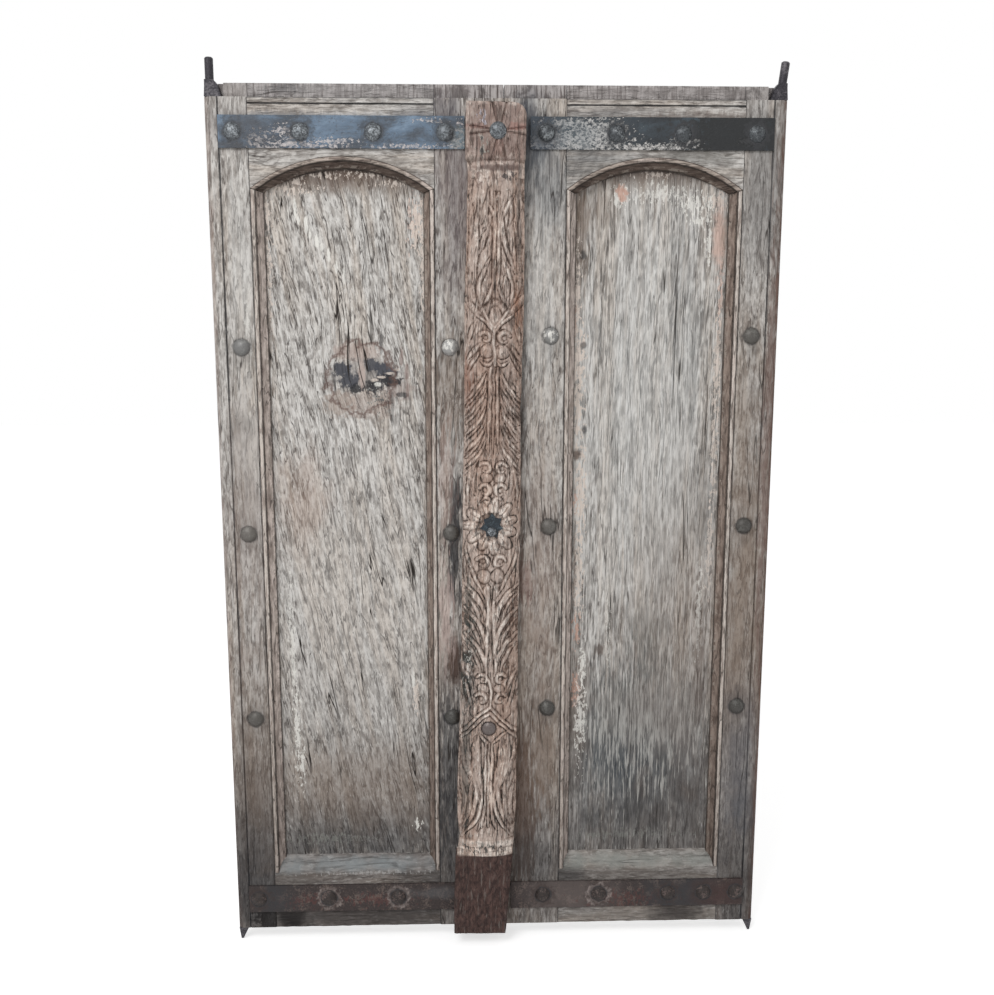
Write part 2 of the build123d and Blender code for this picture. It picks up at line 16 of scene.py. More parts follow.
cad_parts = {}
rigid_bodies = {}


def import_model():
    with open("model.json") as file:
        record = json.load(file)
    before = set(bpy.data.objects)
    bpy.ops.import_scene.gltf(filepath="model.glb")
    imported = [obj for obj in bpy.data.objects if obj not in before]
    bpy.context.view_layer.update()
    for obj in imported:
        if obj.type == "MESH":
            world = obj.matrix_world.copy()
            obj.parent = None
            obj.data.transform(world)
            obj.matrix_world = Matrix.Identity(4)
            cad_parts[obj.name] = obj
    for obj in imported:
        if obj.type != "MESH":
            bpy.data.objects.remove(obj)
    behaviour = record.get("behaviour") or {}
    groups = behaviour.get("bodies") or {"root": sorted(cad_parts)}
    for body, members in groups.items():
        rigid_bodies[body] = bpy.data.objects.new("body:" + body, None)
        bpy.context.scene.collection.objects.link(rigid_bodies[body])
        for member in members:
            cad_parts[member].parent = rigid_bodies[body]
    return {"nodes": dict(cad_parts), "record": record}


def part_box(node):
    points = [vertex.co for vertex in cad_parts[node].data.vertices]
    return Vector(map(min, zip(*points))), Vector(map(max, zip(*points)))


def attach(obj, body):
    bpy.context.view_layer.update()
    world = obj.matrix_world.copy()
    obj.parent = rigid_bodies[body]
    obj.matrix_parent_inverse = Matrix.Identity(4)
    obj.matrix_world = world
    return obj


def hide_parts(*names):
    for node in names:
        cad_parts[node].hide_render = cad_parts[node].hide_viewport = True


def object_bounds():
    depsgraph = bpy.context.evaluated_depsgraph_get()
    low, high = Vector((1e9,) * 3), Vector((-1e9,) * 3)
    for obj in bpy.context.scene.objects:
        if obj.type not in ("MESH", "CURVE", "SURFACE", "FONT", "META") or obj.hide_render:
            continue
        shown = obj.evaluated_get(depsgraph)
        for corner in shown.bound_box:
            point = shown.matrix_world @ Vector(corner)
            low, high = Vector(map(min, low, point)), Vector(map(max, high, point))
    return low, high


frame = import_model()
cad_low, cad_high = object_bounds()
nodes = frame["nodes"]
scene = bpy.context.scene
scene.view_settings.view_transform = "Standard"
print(len(nodes), "pieces, box", tuple(round(v, 4) for v in cad_low),
      tuple(round(v, 4) for v in cad_high))

# %% [markdown]
# The camera stands about a metre and a half away, a little left of the middle, just above half
# height, and looks slightly down. Its focal length is worked out from the angle that the door fills.

# %% Camera
MM = 0.001
EYE = Vector((322.4, -1499.8, 902.4)) * MM
TURN, TILT, ROLL = math.radians(-1.859), math.radians(-9.981), math.radians(-0.051)
FOCAL_PIXELS, LONG_SIDE, SENSOR = 1100.0, 995.0, 36.0

lens = bpy.data.cameras.new("camera")
lens.sensor_width = SENSOR
lens.lens = FOCAL_PIXELS / LONG_SIDE * SENSOR
camera = bpy.data.objects.new("camera", lens)
scene.collection.objects.link(camera)
look = Matrix.Rotation(TURN, 4, "Z") @ Matrix.Rotation(TILT, 4, "X") @ Matrix.Rotation(ROLL, 4, "Y")
camera.matrix_world = Matrix.Translation(EYE) @ look @ Matrix.Rotation(math.radians(90), 4, "X")
scene.camera = camera
print("lens", round(lens.lens, 2), "mm")

# %% [markdown]
# The floor lies just under the two forged points. It shows white to the camera and to gloss, and
# keeps the door's shadow. A wide soft lamp stands high in front and to the left, and a white sky
# fills the rest.

# %% Floor, sky and lamps
FLOOR_GAP = 0.0005
FLOOR_SIZE = 14.0
FLOOR_GLOW = 0.58
PAIR_MIDDLE = 0.372


def seen_directly(tree):
    """One where a ray comes straight from the camera, from gloss or through glass, else nought."""
    path = tree.nodes.new("ShaderNodeLightPath")
    total = path.outputs["Is Camera Ray"]
    for name in ("Is Glossy Ray", "Is Transmission Ray"):
        add = tree.nodes.new("ShaderNodeMath")
        add.operation = "MAXIMUM"
        tree.links.new(total, add.inputs[0])
        tree.links.new(path.outputs[name], add.inputs[1])
        total = add.outputs[0]
    return total


bpy.ops.mesh.primitive_plane_add(size=FLOOR_SIZE, location=(PAIR_MIDDLE, 0.0, cad_low.z - FLOOR_GAP))
floor = bpy.context.object
floor.name = "floor"
floor_paint = bpy.data.materials.new("floor_paint")
floor_paint.use_nodes = True
tree = floor_paint.node_tree
shader = tree.nodes["Principled BSDF"]
shader.inputs["Base Color"].default_value = (0.72, 0.72, 0.72, 1.0)
shader.inputs["Roughness"].default_value = 0.9
shader.inputs["Specular IOR Level"].default_value = 0.1
shader.inputs["Emission Color"].default_value = (1.0, 1.0, 1.0, 1.0)
scale = tree.nodes.new("ShaderNodeMath")
scale.operation = "MULTIPLY"
scale.inputs[1].default_value = FLOOR_GLOW
tree.links.new(seen_directly(tree), scale.inputs[0])
tree.links.new(scale.outputs[0], shader.inputs["Emission Strength"])
floor.data.materials.append(floor_paint)

sky = bpy.data.worlds.new("sky")
scene.world = sky
sky.use_nodes = True
tree = sky.node_tree
background = tree.nodes["Background"]
background.inputs["Color"].default_value = (1.0, 1.0, 1.0, 1.0)
SKY_LEVEL = 0.62
fill = tree.nodes.new("ShaderNodeMapRange")
fill.inputs["To Min"].default_value = SKY_LEVEL
fill.inputs["To Max"].default_value = 1.0
tree.links.new(seen_directly(tree), fill.inputs["Value"])
tree.links.new(fill.outputs["Result"], background.inputs["Strength"])

LAMP_PLACE = Vector((-0.75, -2.0, 2.6))
LAMP_AIM = Vector((PAIR_MIDDLE, 0.0, 0.65))
lamp_data = bpy.data.lights.new("key_lamp", "AREA")
lamp_data.shape = "SQUARE"
lamp_data.size = 1.3
lamp_data.energy = 42.0
lamp = bpy.data.objects.new("key_lamp", lamp_data)
scene.collection.objects.link(lamp)
lamp.location = LAMP_PLACE
lamp.rotation_euler = (LAMP_AIM - LAMP_PLACE).to_track_quat("-Z", "Y").to_euler()

# %% [markdown]
# Old timber is never smooth: the soft wood between the grain lines has washed out, and the lines run
# round knots. Each board gets a skin of small faces whose depth follows such a grain. The grain is a
# sum of smooth random values, long along the board and narrow across it. It is worked out from whole
# numbers, so it comes out the same every time.

# %% Smooth random values
def lattice(column, row, seed):
    """A fixed random number from nought to one for each whole column and row."""
    value = (column * 374761393 + row * 668265263 + seed * 1274126177) & 0xFFFFFFFF
    value = ((value ^ (value >> 13)) * 1103515245) & 0xFFFFFFFF
    return ((value ^ (value >> 16)) & 0xFFFF) / 65535.0


def wander(across, along, seed):
    """Smooth random values from minus one to one, changing over about one unit each way."""
    column, row = np.floor(across).astype(np.int64), np.floor(along).astype(np.int64)
    s, t = across - column, along - row
    s, t = s * s * (3 - 2 * s), t * t * (3 - 2 * t)
    low = lattice(column, row, seed) * (1 - s) + lattice(column + 1, row, seed) * s
    high = lattice(column, row + 1, seed) * (1 - s) + lattice(column + 1, row + 1, seed) * s
    return 2 * (low * (1 - t) + high * t) - 1


# %% [markdown]
# A board's skin is a grid added by Blender, moved into place point by point. The border is then pulled
# straight back and the back is closed. Each point keeps two things for the finish: its place along and
# across the grain, as a UV map, and how high it stands, from 0 in a groove to 1 on a ridge.

# %% A board with a worn skin
def ease(value, low, high):
    """Nought below the first value, one above the second, smooth between."""
    t = np.clip((value - low) / (high - low), 0, 1)
    return t * t * (3 - 2 * t)


def skin_grid(name, columns, rows):
    """A flat grid object with its points numbered by column and row."""
    bpy.ops.object.select_all(action="DESELECT")
    bpy.ops.mesh.primitive_grid_add(x_subdivisions=columns, y_subdivisions=rows, size=1)
    piece = bpy.context.object
    piece.name = name
    piece.data.name = name
    flat = np.empty(len(piece.data.vertices) * 3)
    piece.data.vertices.foreach_get("co", flat)
    flat = flat.reshape(-1, 3)
    column = np.rint((flat[:, 0] + 0.5) * columns).astype(int)
    row = np.rint((flat[:, 1] + 0.5) * rows).astype(int)
    return piece, column, row


def close_back(piece, back):
    """Pull the border of a skin back to one depth and fill it."""
    bpy.ops.object.mode_set(mode="EDIT")
    bpy.ops.mesh.select_mode(type="EDGE")
    bpy.ops.mesh.select_all(action="DESELECT")
    bpy.ops.mesh.select_non_manifold()
    bpy.ops.mesh.extrude_edges_move(TRANSFORM_OT_translate={"value": (0, 0.001, 0)})
    bpy.ops.transform.resize(value=(1, 0, 1), center_override=(0, back, 0))
    bpy.ops.mesh.edge_face_add()
    bpy.ops.mesh.select_all(action="SELECT")
    bpy.ops.mesh.normals_make_consistent(inside=False)
    bpy.ops.object.mode_set(mode="OBJECT")


def carry_grain(mesh, thickness, back, upright):
    """Carry the grain round the edges of a skin and lay it straight across its back."""
    count, corner = len(mesh.loops), np.empty(len(mesh.loops), dtype=np.int64)
    sides, flat = np.empty(len(mesh.polygons), dtype=np.int64), np.empty(len(mesh.vertices) * 3)
    mesh.loops.foreach_get("vertex_index", corner)
    mesh.polygons.foreach_get("loop_total", sides)
    mesh.vertices.foreach_get("co", flat)
    place = flat.reshape(-1, 3)[corner]
    grain = np.empty(count * 2)
    uv = mesh.uv_layers["grain"].data
    uv.foreach_get("uv", grain)
    grain = grain.reshape(-1, 2)
    closing = np.repeat(sides > 4, sides)
    edge = (place[:, Y] > back - 1e-6) & ~closing
    grain[edge] += (thickness, 0.4 * thickness)
    grain[closing] = place[closing][:, (X, Z) if upright else (Z, X)]
    uv.foreach_set("uv", grain.ravel())


def finish_skin(piece, place, grain, relief, back, upright=True):
    """Set every point, store grain and relief, close the back and smooth the skin."""
    mesh = piece.data
    mesh.vertices.foreach_set("co", (place * MM).ravel())
    uv = mesh.uv_layers.new(name="grain") if not mesh.uv_layers else mesh.uv_layers[0]
    uv.name = "grain"
    corner = np.empty(len(mesh.loops), dtype=np.int64)
    mesh.loops.foreach_get("vertex_index", corner)
    uv.data.foreach_set("uv", (grain[corner] * MM).ravel())
    mesh.attributes.new("relief", "FLOAT", "POINT").data.foreach_set("value", relief.astype(np.float32))
    mesh.update()
    close_back(piece, back * MM)
    carry_grain(mesh, (back - place[:, Y].min()) * MM, back * MM, upright)
    bpy.ops.object.shade_smooth_by_angle(angle=math.radians(50))
    triangles = sum(len(face.vertices) - 2 for face in mesh.polygons)
    print(piece.name, triangles, "triangles")
    return piece

# %% [markdown]
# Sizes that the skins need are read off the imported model, so they follow it. Heights of ornaments,
# knots and stains are places chosen on this door, in millimetres from its foot.

# %% Sizes read from the frame
def span(name, axis):
    """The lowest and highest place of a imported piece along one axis, in millimetres."""
    lowest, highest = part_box(name)
    return lowest[axis] / MM, highest[axis] / MM


X, Y, Z = 0, 1, 2
FACE, BACK = span("left_inner_stile", Y)
LEAF_TOP = span("left_inner_stile", Z)[1]
PANEL_FACE, PANEL_BACK = span("left_panel", Y)
SHOULDER = LEAF_TOP - 18.0
TONGUE_SETBACK = 8.0
EDGE_ROUND, EDGE_BAND, SCRIBE = 9.5, 18.0, 1.6
print("face", FACE, "panel", PANEL_FACE, "top", LEAF_TOP)

# %% [markdown]
# A grain is described by how it leans, how it waves and where its knots are. Round a knot the lines
# are pushed apart, as they are in a real board, so the same warped place serves the skin's depth and
# the colours that follow it.

# %% The grain and the worn depth
def grain_place(across, along, lean, wave, knots, seed):
    """Where each point lies in the unbent board: across and along the grain, in millimetres."""
    bent = across - lean * along
    bent = bent + wave * wander(across / 90, along / 260, seed)
    bent = bent + 0.3 * wave * wander(across / 30, along / 90, seed + 1)
    for knot_across, knot_along, radius, push in knots:
        far = np.hypot((across - knot_across) / radius, (along - knot_along) / (1.5 * radius))
        bent = bent - (across - knot_across) * push * np.exp(-far * far)
    return bent, along


def worn_depth(bent, along, seed, depth):
    """How far the weather has eaten in, in millimetres, and how high each point stands from 0 to 1."""
    lines = wander(bent / 2.6, along / 14, seed) + 0.4 * wander(bent / 5.5, along / 45, seed + 1)
    lines = lines + 0.8 * wander(bent / 1.8, along / 8, seed + 2)
    ridge = ease(lines, -1.2, 1.2)
    split = 1 - ease(np.abs(wander(bent / 9, along / 240, seed + 3)), 0.0, 0.05)
    split = split * ease(wander(bent / 14, along / 70, seed + 4), 0.0, 0.5)
    height = np.clip(ridge - 0.9 * split, 0, 1)
    return depth * (1 - ridge) + 2.2 * depth * split, height


def even(low, high, step):
    """Places between two ends, about one step apart."""
    return np.linspace(low, high, max(2, int(round(abs(high - low) / step)) + 1))


def board(name, columns, rows, shape, grain, depth, node, back=BACK, upright=True):
    """Skin a board. The shape gives x, z and depth of face for each column and row."""
    piece, column, row = skin_grid(name, len(columns) - 1, len(rows) - 1)
    x, z, face = shape(columns[column], rows[row])
    lean, wave, knots, seed = grain
    across, along = (x, z) if upright else (z, x)
    bent, along = grain_place(across, along, lean, wave, knots, seed)
    eaten, relief = worn_depth(bent, along, seed, depth)
    border = np.minimum(np.minimum(column, columns.size - 1 - column),
                        np.minimum(row, rows.size - 1 - row))
    eaten = np.where(border == 0, np.maximum(eaten, 0.5), eaten)
    place = np.column_stack([x, face + eaten, z])
    finish_skin(piece, place, np.column_stack([bent, along]), relief, back, upright)
    piece["stands_for"] = node
    return piece


# %% [markdown]
# The two panels show the deepest grain. The left board was cut at a slant, so its lines lean, and it
# has one large knot. The right one has straight lines. Both end in an arch at the head.

# %% Panels
ARCH_SPRING, ARCH_CROWN = 1051.0, 1092.0
SILL_TOP = 106.0
LEFT_KNOTS = ((206.0, 806.0, 36.0, 0.75), (178.0, 812.0, 20.0, 0.4))
RIGHT_KNOTS = ((487.0, 967.0, 12.0, 0.6), (490.0, 847.0, 10.0, 0.6), (493.0, 731.0, 11.0, 0.6),
               (481.0, 697.0, 12.0, 0.5))


def arch_height(x, low_x, high_x, spring=ARCH_SPRING, crown=ARCH_CROWN):
    """The height of the arch over a place between its two springs."""
    half = (high_x - low_x) / 2
    radius = (half ** 2 + (crown - spring) ** 2) / (2 * (crown - spring))
    from_middle = np.clip(x - (low_x + high_x) / 2, -half, half)
    return crown - radius + np.sqrt(radius ** 2 - from_middle ** 2)


def panel(side, grain):
    """A sunk board with an arched head, reaching behind its mouldings."""
    low_x, high_x = span(side + "_panel", X)
    low_z = span(side + "_panel", Z)[0]
    top = span(side + "_panel", Z)[1] - ARCH_CROWN

    def shape(x, share):
        head = arch_height(x, low_x, high_x, ARCH_SPRING + top, ARCH_CROWN + top)
        return x, low_z + share * (head - low_z), np.full_like(x, PANEL_FACE)

    node = side + "_panel"
    return board(node + "_skin", even(low_x, high_x, 1.5), even(0, 1, 0.0036), shape, grain, 0.8,
                 node, back=PANEL_BACK)


panel("left", (-0.16, 7.0, LEFT_KNOTS, 11))
panel("right", (0.004, 4.0, RIGHT_KNOTS, 37))

# %% [markdown]
# The stiles and rails are planed flatter, but they are as old. The outer stile is rounded at its edge
# and has a scribed line. Across the head a tongue steps back by eight millimetres, where the leaf runs
# up behind the lintel, and it still shows the saw.

# %% Stiles and rails
SCRIBE_STEPS = np.array([-0.9, -0.45, 0.0, 0.45, 0.9])


def scribed(distance):
    """The depth of the scribed line, by the distance from its middle."""
    return np.clip(SCRIBE - 2 * np.abs(distance), 0, SCRIBE)


def tongue(z, seed, x):
    """The step back above the shoulder, with its rough sawn face."""
    saw = 0.35 * wander(x / 2.2, z / 30, seed) + 0.2 * wander(x / 0.9, z / 40, seed + 1)
    return np.where(z > SHOULDER + 0.05, TONGUE_SETBACK + saw, 0.0)


def worn_arris(distance, seed, along, size=1.2):
    """A sharp edge knocked and worn back, by the distance from it."""
    reach = size * (1 + 0.6 * wander(along / 9, along / 31, seed))
    return 0.8 * np.clip(reach - distance, 0, None) ** 1.3


STILE_ROWS = np.concatenate([even(0.0, SHOULDER - 0.2, 4.0), [SHOULDER + 0.2],
                             even(SHOULDER + 3, LEAF_TOP, 3.0)])
SHOE_NOTCH_WIDTH, SHOE_NOTCH_DEPTH = 24.2, 15.7


def outer_stile(side, grain):
    """The stile that carries the pivots, rounded at its outer edge."""
    low_x, high_x = span(side + "_outer_stile", X)
    width = high_x - low_x
    turn = np.linspace(0, math.pi / 2, 9)
    rounded = EDGE_ROUND * (1 - np.cos(turn))
    from_edge = np.concatenate([rounded, even(EDGE_ROUND + 1.5, EDGE_BAND - 2, 1.6),
                                EDGE_BAND + SCRIBE_STEPS, even(EDGE_BAND + 2, width, 1.7)])

    def shape(distance, z):
        x = low_x + distance if side == "left" else high_x - distance
        near = np.clip(EDGE_ROUND - distance, 0, EDGE_ROUND)
        face = FACE + EDGE_ROUND - np.sqrt(EDGE_ROUND ** 2 - near ** 2)
        face = face + scribed(distance - EDGE_BAND) * (z <= SHOULDER)
        face = face + worn_arris(width - distance, grain[3], z)
        above = FACE + tongue(z, grain[3], x)
        notch = FACE + np.where(distance < SHOE_NOTCH_WIDTH, SHOE_NOTCH_DEPTH, 0.0)
        above = np.maximum(above, notch)
        return x, z, np.where(z > SHOULDER, above, face)

    node = side + "_outer_stile"
    return board(node + "_skin", from_edge, STILE_ROWS, shape, grain, 0.4, node)


def inner_stile(side, grain):
    """The stile at the meeting edge."""
    low_x, high_x = span(side + "_inner_stile", X)

    def shape(x, z):
        face = FACE + worn_arris(x - low_x, grain[3], z) + worn_arris(high_x - x, grain[3] + 5, z)
        return x, z, np.where(z > SHOULDER, FACE + tongue(z, grain[3], x), face)

    node = side + "_inner_stile"
    return board(node + "_skin", even(low_x, high_x, 1.7), STILE_ROWS, shape, grain, 0.4, node)


def top_rail(side, grain):
    """The rail over the arch, with the scribed line that runs along its head."""
    low_x = span(side + "_arch_moulding", X)[0]
    high_x = span(side + "_arch_moulding", X)[1]
    line = SHOULDER - 8.0
    middle = (ARCH_CROWN + LEAF_TOP) / 2
    rows = np.concatenate([even(0, 1, 0.06), line + SCRIBE_STEPS, [SHOULDER - 1.5, SHOULDER - 0.2,
                           SHOULDER + 0.2], even(SHOULDER + 3, LEAF_TOP, 3.0)])

    def shape(x, row):
        arch = arch_height(x, low_x, high_x)
        under = arch + row * (line - 2 - arch)
        z = np.where(row <= 1, under, row)
        face = FACE + scribed(z - line) + worn_arris(z - arch, grain[3], x, 0.8)
        return x, z, np.where(z > SHOULDER, FACE + tongue(z, grain[3], x), face)

    node = side + "_top_rail"
    return board(node + "_skin", even(low_x, high_x, 3.0), rows, shape, grain, 0.4, node,
                 upright=False)


def bottom_rail(side, grain):
    """The rail at the foot, with the sloped sill that runs up to the panel."""
    low_x, high_x = span(side + "_arch_moulding", X)
    rise = 19.0
    sill = SILL_TOP - rise
    rows = np.concatenate([even(0, sill - 1, 1.8), even(sill, SILL_TOP, 1.6)])

    def shape(x, z):
        face = FACE + np.clip(z - sill, 0, rise) * (PANEL_FACE - FACE) / rise
        face = face + 0.7 * np.exp(-((z - sill) / 1.5) ** 2)
        return x, z, face + worn_arris(z, grain[3], x)

    node = side + "_bottom_rail"
    return board(node + "_skin", even(low_x, high_x, 3.0), rows, shape, grain, 0.4, node,
                 upright=False)


LEFT_STILE_KNOTS = ((29.0, 742.0, 13.0, 0.7),)
outer_stile("left", (0.01, 3.0, LEFT_STILE_KNOTS, 51))
inner_stile("left", (0.0, 4.0, (), 57))
top_rail("left", (0.0, 3.0, (), 63))
bottom_rail("left", (0.0, 3.0, (), 69))
outer_stile("right", (-0.01, 3.0, (), 75))
inner_stile("right", (0.01, 4.0, ((410.0, 520.0, 16.0, 0.5),), 81))
top_rail("right", (0.0, 3.0, (), 87))
bottom_rail("right", (0.0, 3.0, (), 93))

# %% [markdown]
# The carved strip is the showpiece: a half-round bar, cut with leaf buds, garlands, volutes, fronds and
# a flower. A carver works with ribs and hollows, so the relief here is drawn with rounded ribs along
# short curves. Each rib has a width and a height, thins out towards its ends and may carry a cut vein.
# Most come in pairs, mirrored about the middle, which wanders a little as the real one does.

# %% Relief tools
STRIP_FOOT_X, STRIP_HEAD_X, STRIP_LENGTH = 354.0, 371.5, 1157.0
BROAD, VEINER = 1.25, 0.85
LEAN = math.atan2(STRIP_HEAD_X - STRIP_FOOT_X, STRIP_LENGTH)
HEAD_LOW, COLLAR_LOW, CARVING_LOW, FOOT_TOP = 1084.0, 1062.0, 146.0, 122.0


def smooth_path(points, pieces=6):
    """A smooth curve through a few points."""
    points = np.array(points, float)
    if len(points) == 2:
        return points
    before = np.vstack([2 * points[0] - points[1], points, 2 * points[-1] - points[-2]])
    made = []
    for a, b, c, d in zip(before, before[1:], before[2:], before[3:]):
        for t in np.arange(pieces) / pieces:
            made.append(0.5 * (2 * b + (c - a) * t + (2 * a - 5 * b + 4 * c - d) * t ** 2
                               + (3 * b - a - 3 * c + d) * t ** 3))
    return np.array(made + [points[-1]])


def nearest(path, u, v):
    """The distance from each point to a path, and how far along it, from 0 to 1."""
    lengths = np.hypot(*np.diff(path, axis=0).T)
    total = lengths.sum()
    best = np.full(u.shape, 1e9)
    share = np.zeros(u.shape)
    done = 0.0
    for start, end, length in zip(path, path[1:], lengths):
        t = ((u - start[0]) * (end[0] - start[0]) + (v - start[1]) * (end[1] - start[1])) / length ** 2
        t = np.clip(t, 0, 1)
        far = np.hypot(u - start[0] - t * (end[0] - start[0]), v - start[1] - t * (end[1] - start[1]))
        closer = far < best
        best = np.where(closer, far, best)
        share = np.where(closer, (done + t * length) / total, share)
        done += length
    return best, share


class Relief:
    """A height field over the strip, in millimetres above the sunk ground."""

    def __init__(self, u, v):
        self.u, self.v = u, v
        self.height, self.beside, self.cuts = (np.zeros(u.shape) for _ in range(3))

    def near(self, path, reach):
        low, high = path.min(0) - reach, path.max(0) + reach
        return np.flatnonzero((self.u > low[0]) & (self.u < high[0])
                              & (self.v > low[1]) & (self.v < high[1]))

    def rib(self, points, width, height, thin=(0.35, 0.35), vein=0.0, ring=0.0):
        """A rounded rib, thinner towards its ends, with a cut vein or cross cuts if wanted."""
        path = smooth_path(points)
        width = BROAD * width
        picked = self.near(path, width + 2)
        far, share = nearest(path, self.u[picked], self.v[picked])
        ends = np.minimum(thin[0] + (1 - thin[0]) * ease(share, 0, 0.35),
                          thin[1] + (1 - thin[1]) * ease(1 - share, 0, 0.35))
        half = 0.5 * width * ends
        round_top = np.sqrt(np.clip(1 - (far / half) ** 2, 0, 1))
        rise = height * round_top * (0.55 + 0.45 * ends)
        rise = rise - vein * np.exp(-(far / 0.9) ** 2) * (round_top > 0)
        if ring:
            length = np.hypot(*np.diff(path, axis=0).T).sum()
            rise = rise * (1 - 0.3 * (0.5 + 0.5 * np.cos(2 * math.pi * share * length / ring)))
        self.height[picked] = np.maximum(self.height[picked], rise)
        groove = np.exp(-((far - half - 0.5) / VEINER) ** 2) * (0.4 + 0.6 * ends)
        self.beside[picked] = np.maximum(self.beside[picked], groove)

    def cut(self, points, width, depth):
        """A groove cut with a veiner."""
        path = smooth_path(points)
        picked = self.near(path, width)
        far, _ = nearest(path, self.u[picked], self.v[picked])
        self.cuts[picked] += depth * np.clip(1 - 2 * far / width, 0, 1) ** 0.8

    def swell(self, u, v, wide, tall, height, dent=0.0):
        """A rounded lobe, with a dent in its middle if wanted."""
        far = np.hypot((self.u - u) / wide, (self.v - v) / tall)
        rise = height * np.sqrt(np.clip(1 - far ** 2, 0, 1))
        rise = rise - dent * np.exp(-(far / 0.33) ** 2) * (far < 1)
        self.height = np.where(far < 1, np.maximum(self.height, rise), self.height)
        groove = np.exp(-(((far - 1) * min(wide, tall) - 0.5) / VEINER) ** 2)
        self.beside = np.maximum(self.beside, groove)

    def standing(self, level):
        """Ribs over a ground at this level, with a shallow groove beside each rib."""
        return np.maximum(level * (1 - 0.78 * self.beside), self.height) - self.cuts

    def curl(self, u, v, radius, height, hand):
        """A volute: a rib that winds in on itself round a small button."""
        turns = np.linspace(0, 1.6 * math.pi, 9)
        path = [(u + hand * radius * (1 - 0.09 * t) * math.cos(t + 0.4),
                 v + radius * (1 - 0.09 * t) * math.sin(t + 0.4)) for t in turns]
        self.rib(path, 0.62 * radius, height, thin=(0.7, 0.5))
        self.swell(u, v, 0.38 * radius, 0.38 * radius, 0.75 * height)

    def pair(self, points, width, height, **more):
        """A rib on both sides of the middle."""
        for hand in (1, -1):
            self.rib([(hand * u + drift(v), v) for u, v in points], width, height, **more)


def drift(v):
    """How far the carving's middle wanders from the strip's, from its foot to its head."""
    return 2.0 - 2.5 * ease(np.float64(v), 250, 700)


# %% [markdown]
# The carving from head to foot. Each part is a short list of ribs in millimetres from the strip's
# middle and foot.

# %% The upper bud and the garland
def upper_bud(relief):
    for u in (-2.4, 2.8):
        relief.rib([(u, 1044), (u, 1000), (u * 1.15, 940), (u * 1.1, 922)], 4.4, 4.2, thin=(0.4, 0.6))
    relief.rib([(-12, 1030), (-6, 1021), (-2, 1012)], 4, 3.6)
    relief.rib([(10, 1038), (7, 1010), (10, 986), (21, 953), (28, 938)], 5, 4.0, vein=1.0)
    relief.rib([(22, 1043), (14, 1029), (8, 1008)], 4, 3.6)
    relief.rib([(-9, 1003), (-15, 988), (-20, 974), (-24, 966)], 5, 3.6, vein=0.8)
    relief.rib([(-24, 1034), (-26, 1000), (-27, 975), (-28, 938), (-27, 912)], 6.5, 3.8, vein=1.2)
    relief.rib([(30, 1046), (33, 1023), (32, 1001), (36, 975)], 6, 3.8, vein=1.0)
    relief.rib([(23, 1006), (28, 985), (31, 960), (31, 925), (25, 904)], 5.5, 4.4, ring=4.0)
    relief.rib([(-35, 1040), (-32, 1010), (-33, 965), (-34, 925)], 6, 3.4, vein=1.0)
    relief.rib([(36, 1040), (37, 1000), (37, 950), (36, 915)], 4.5, 3.2)
    relief.rib([(-11, 1046), (-14, 1020), (-13, 1000)], 5, 2.8)
    relief.rib([(16, 1046), (19, 1020), (17, 1002)], 5, 2.8)
    for hand in (-1, 1):
        relief.rib([(hand * 7, 962), (hand * 15, 944), (hand * 22, 926), (hand * 19, 898)], 4.5, 3.9)
        relief.rib([(hand * 4, 930), (hand * 9, 912), (hand * 17, 898)], 4.5, 3.9)
        relief.rib([(hand * 12, 938), (hand * 15, 924), (hand * 13, 910)], 7, 2.4)


def garland(relief):
    for inner, outer in (((0, 865), (24, 889)), ((0, 871), (17, 895))):
        for hand in (-1, 1):
            relief.rib([(hand * inner[0], inner[1]), (hand * 10, inner[1] + 13),
                        (hand * outer[0], outer[1])],
                       4.0, 4.4, thin=(0.8, 0.7))
    relief.rib([(22, 893), (30, 902), (38, 912)], 7, 4.6, ring=3.5, thin=(0.9, 0.8))
    relief.rib([(-22, 890), (-30, 898), (-38, 910)], 6, 4.0, ring=3.5, thin=(0.8, 0.8))
    relief.swell(0, 885, 8, 13, 3.8)
    relief.cut([(-15, 899), (0, 908), (13, 899)], 7, 1.6)
    relief.rib([(0, 868), (-1, 850), (1, 838), (0, 822)], 4.5, 4.4, thin=(0.9, 0.9))
    for hand in (-1, 1):
        relief.curl(hand * 12.5, 858, 8.0, 4.2, hand)
        relief.swell(hand * 10.5, 840, 9, 9, 3.8, dent=1.2)
        relief.rib([(hand * 2, 828), (hand * 9, 822), (hand * 19, 827)], 4, 4.0)
        relief.rib([(hand * 20, 850), (hand * 29, 838), (hand * 37, 826)], 4.5, 3.8)
        relief.rib([(hand * 19, 842), (hand * 29, 824), (hand * 37, 808)], 3.4, 3.6)
        relief.rib([(hand * 24, 880), (hand * 30, 866), (hand * 34, 850)], 5, 3.0, vein=0.8)


# %% The fronds, the flower and its volutes
def falling_fronds(relief):
    relief.pair([(5, 818), (5, 770), (6.5, 716)], 4.2, 4.2, thin=(0.8, 0.5))
    relief.rib([(0, 818), (0, 760), (0, 700)], 3.0, 2.6)
    for root in (812, 789, 766, 743, 720):
        relief.pair([(10, root), (17, root - 15), (28, root - 29), (37, root - 39)], 4.2, 4.2)
        relief.pair([(14, root - 16), (24, root - 31), (36, root - 46)], 2.8, 3.0, thin=(0.4, 0.8))
        relief.pair([(20, root - 12), (31, root - 24)], 4.5, 2.0)


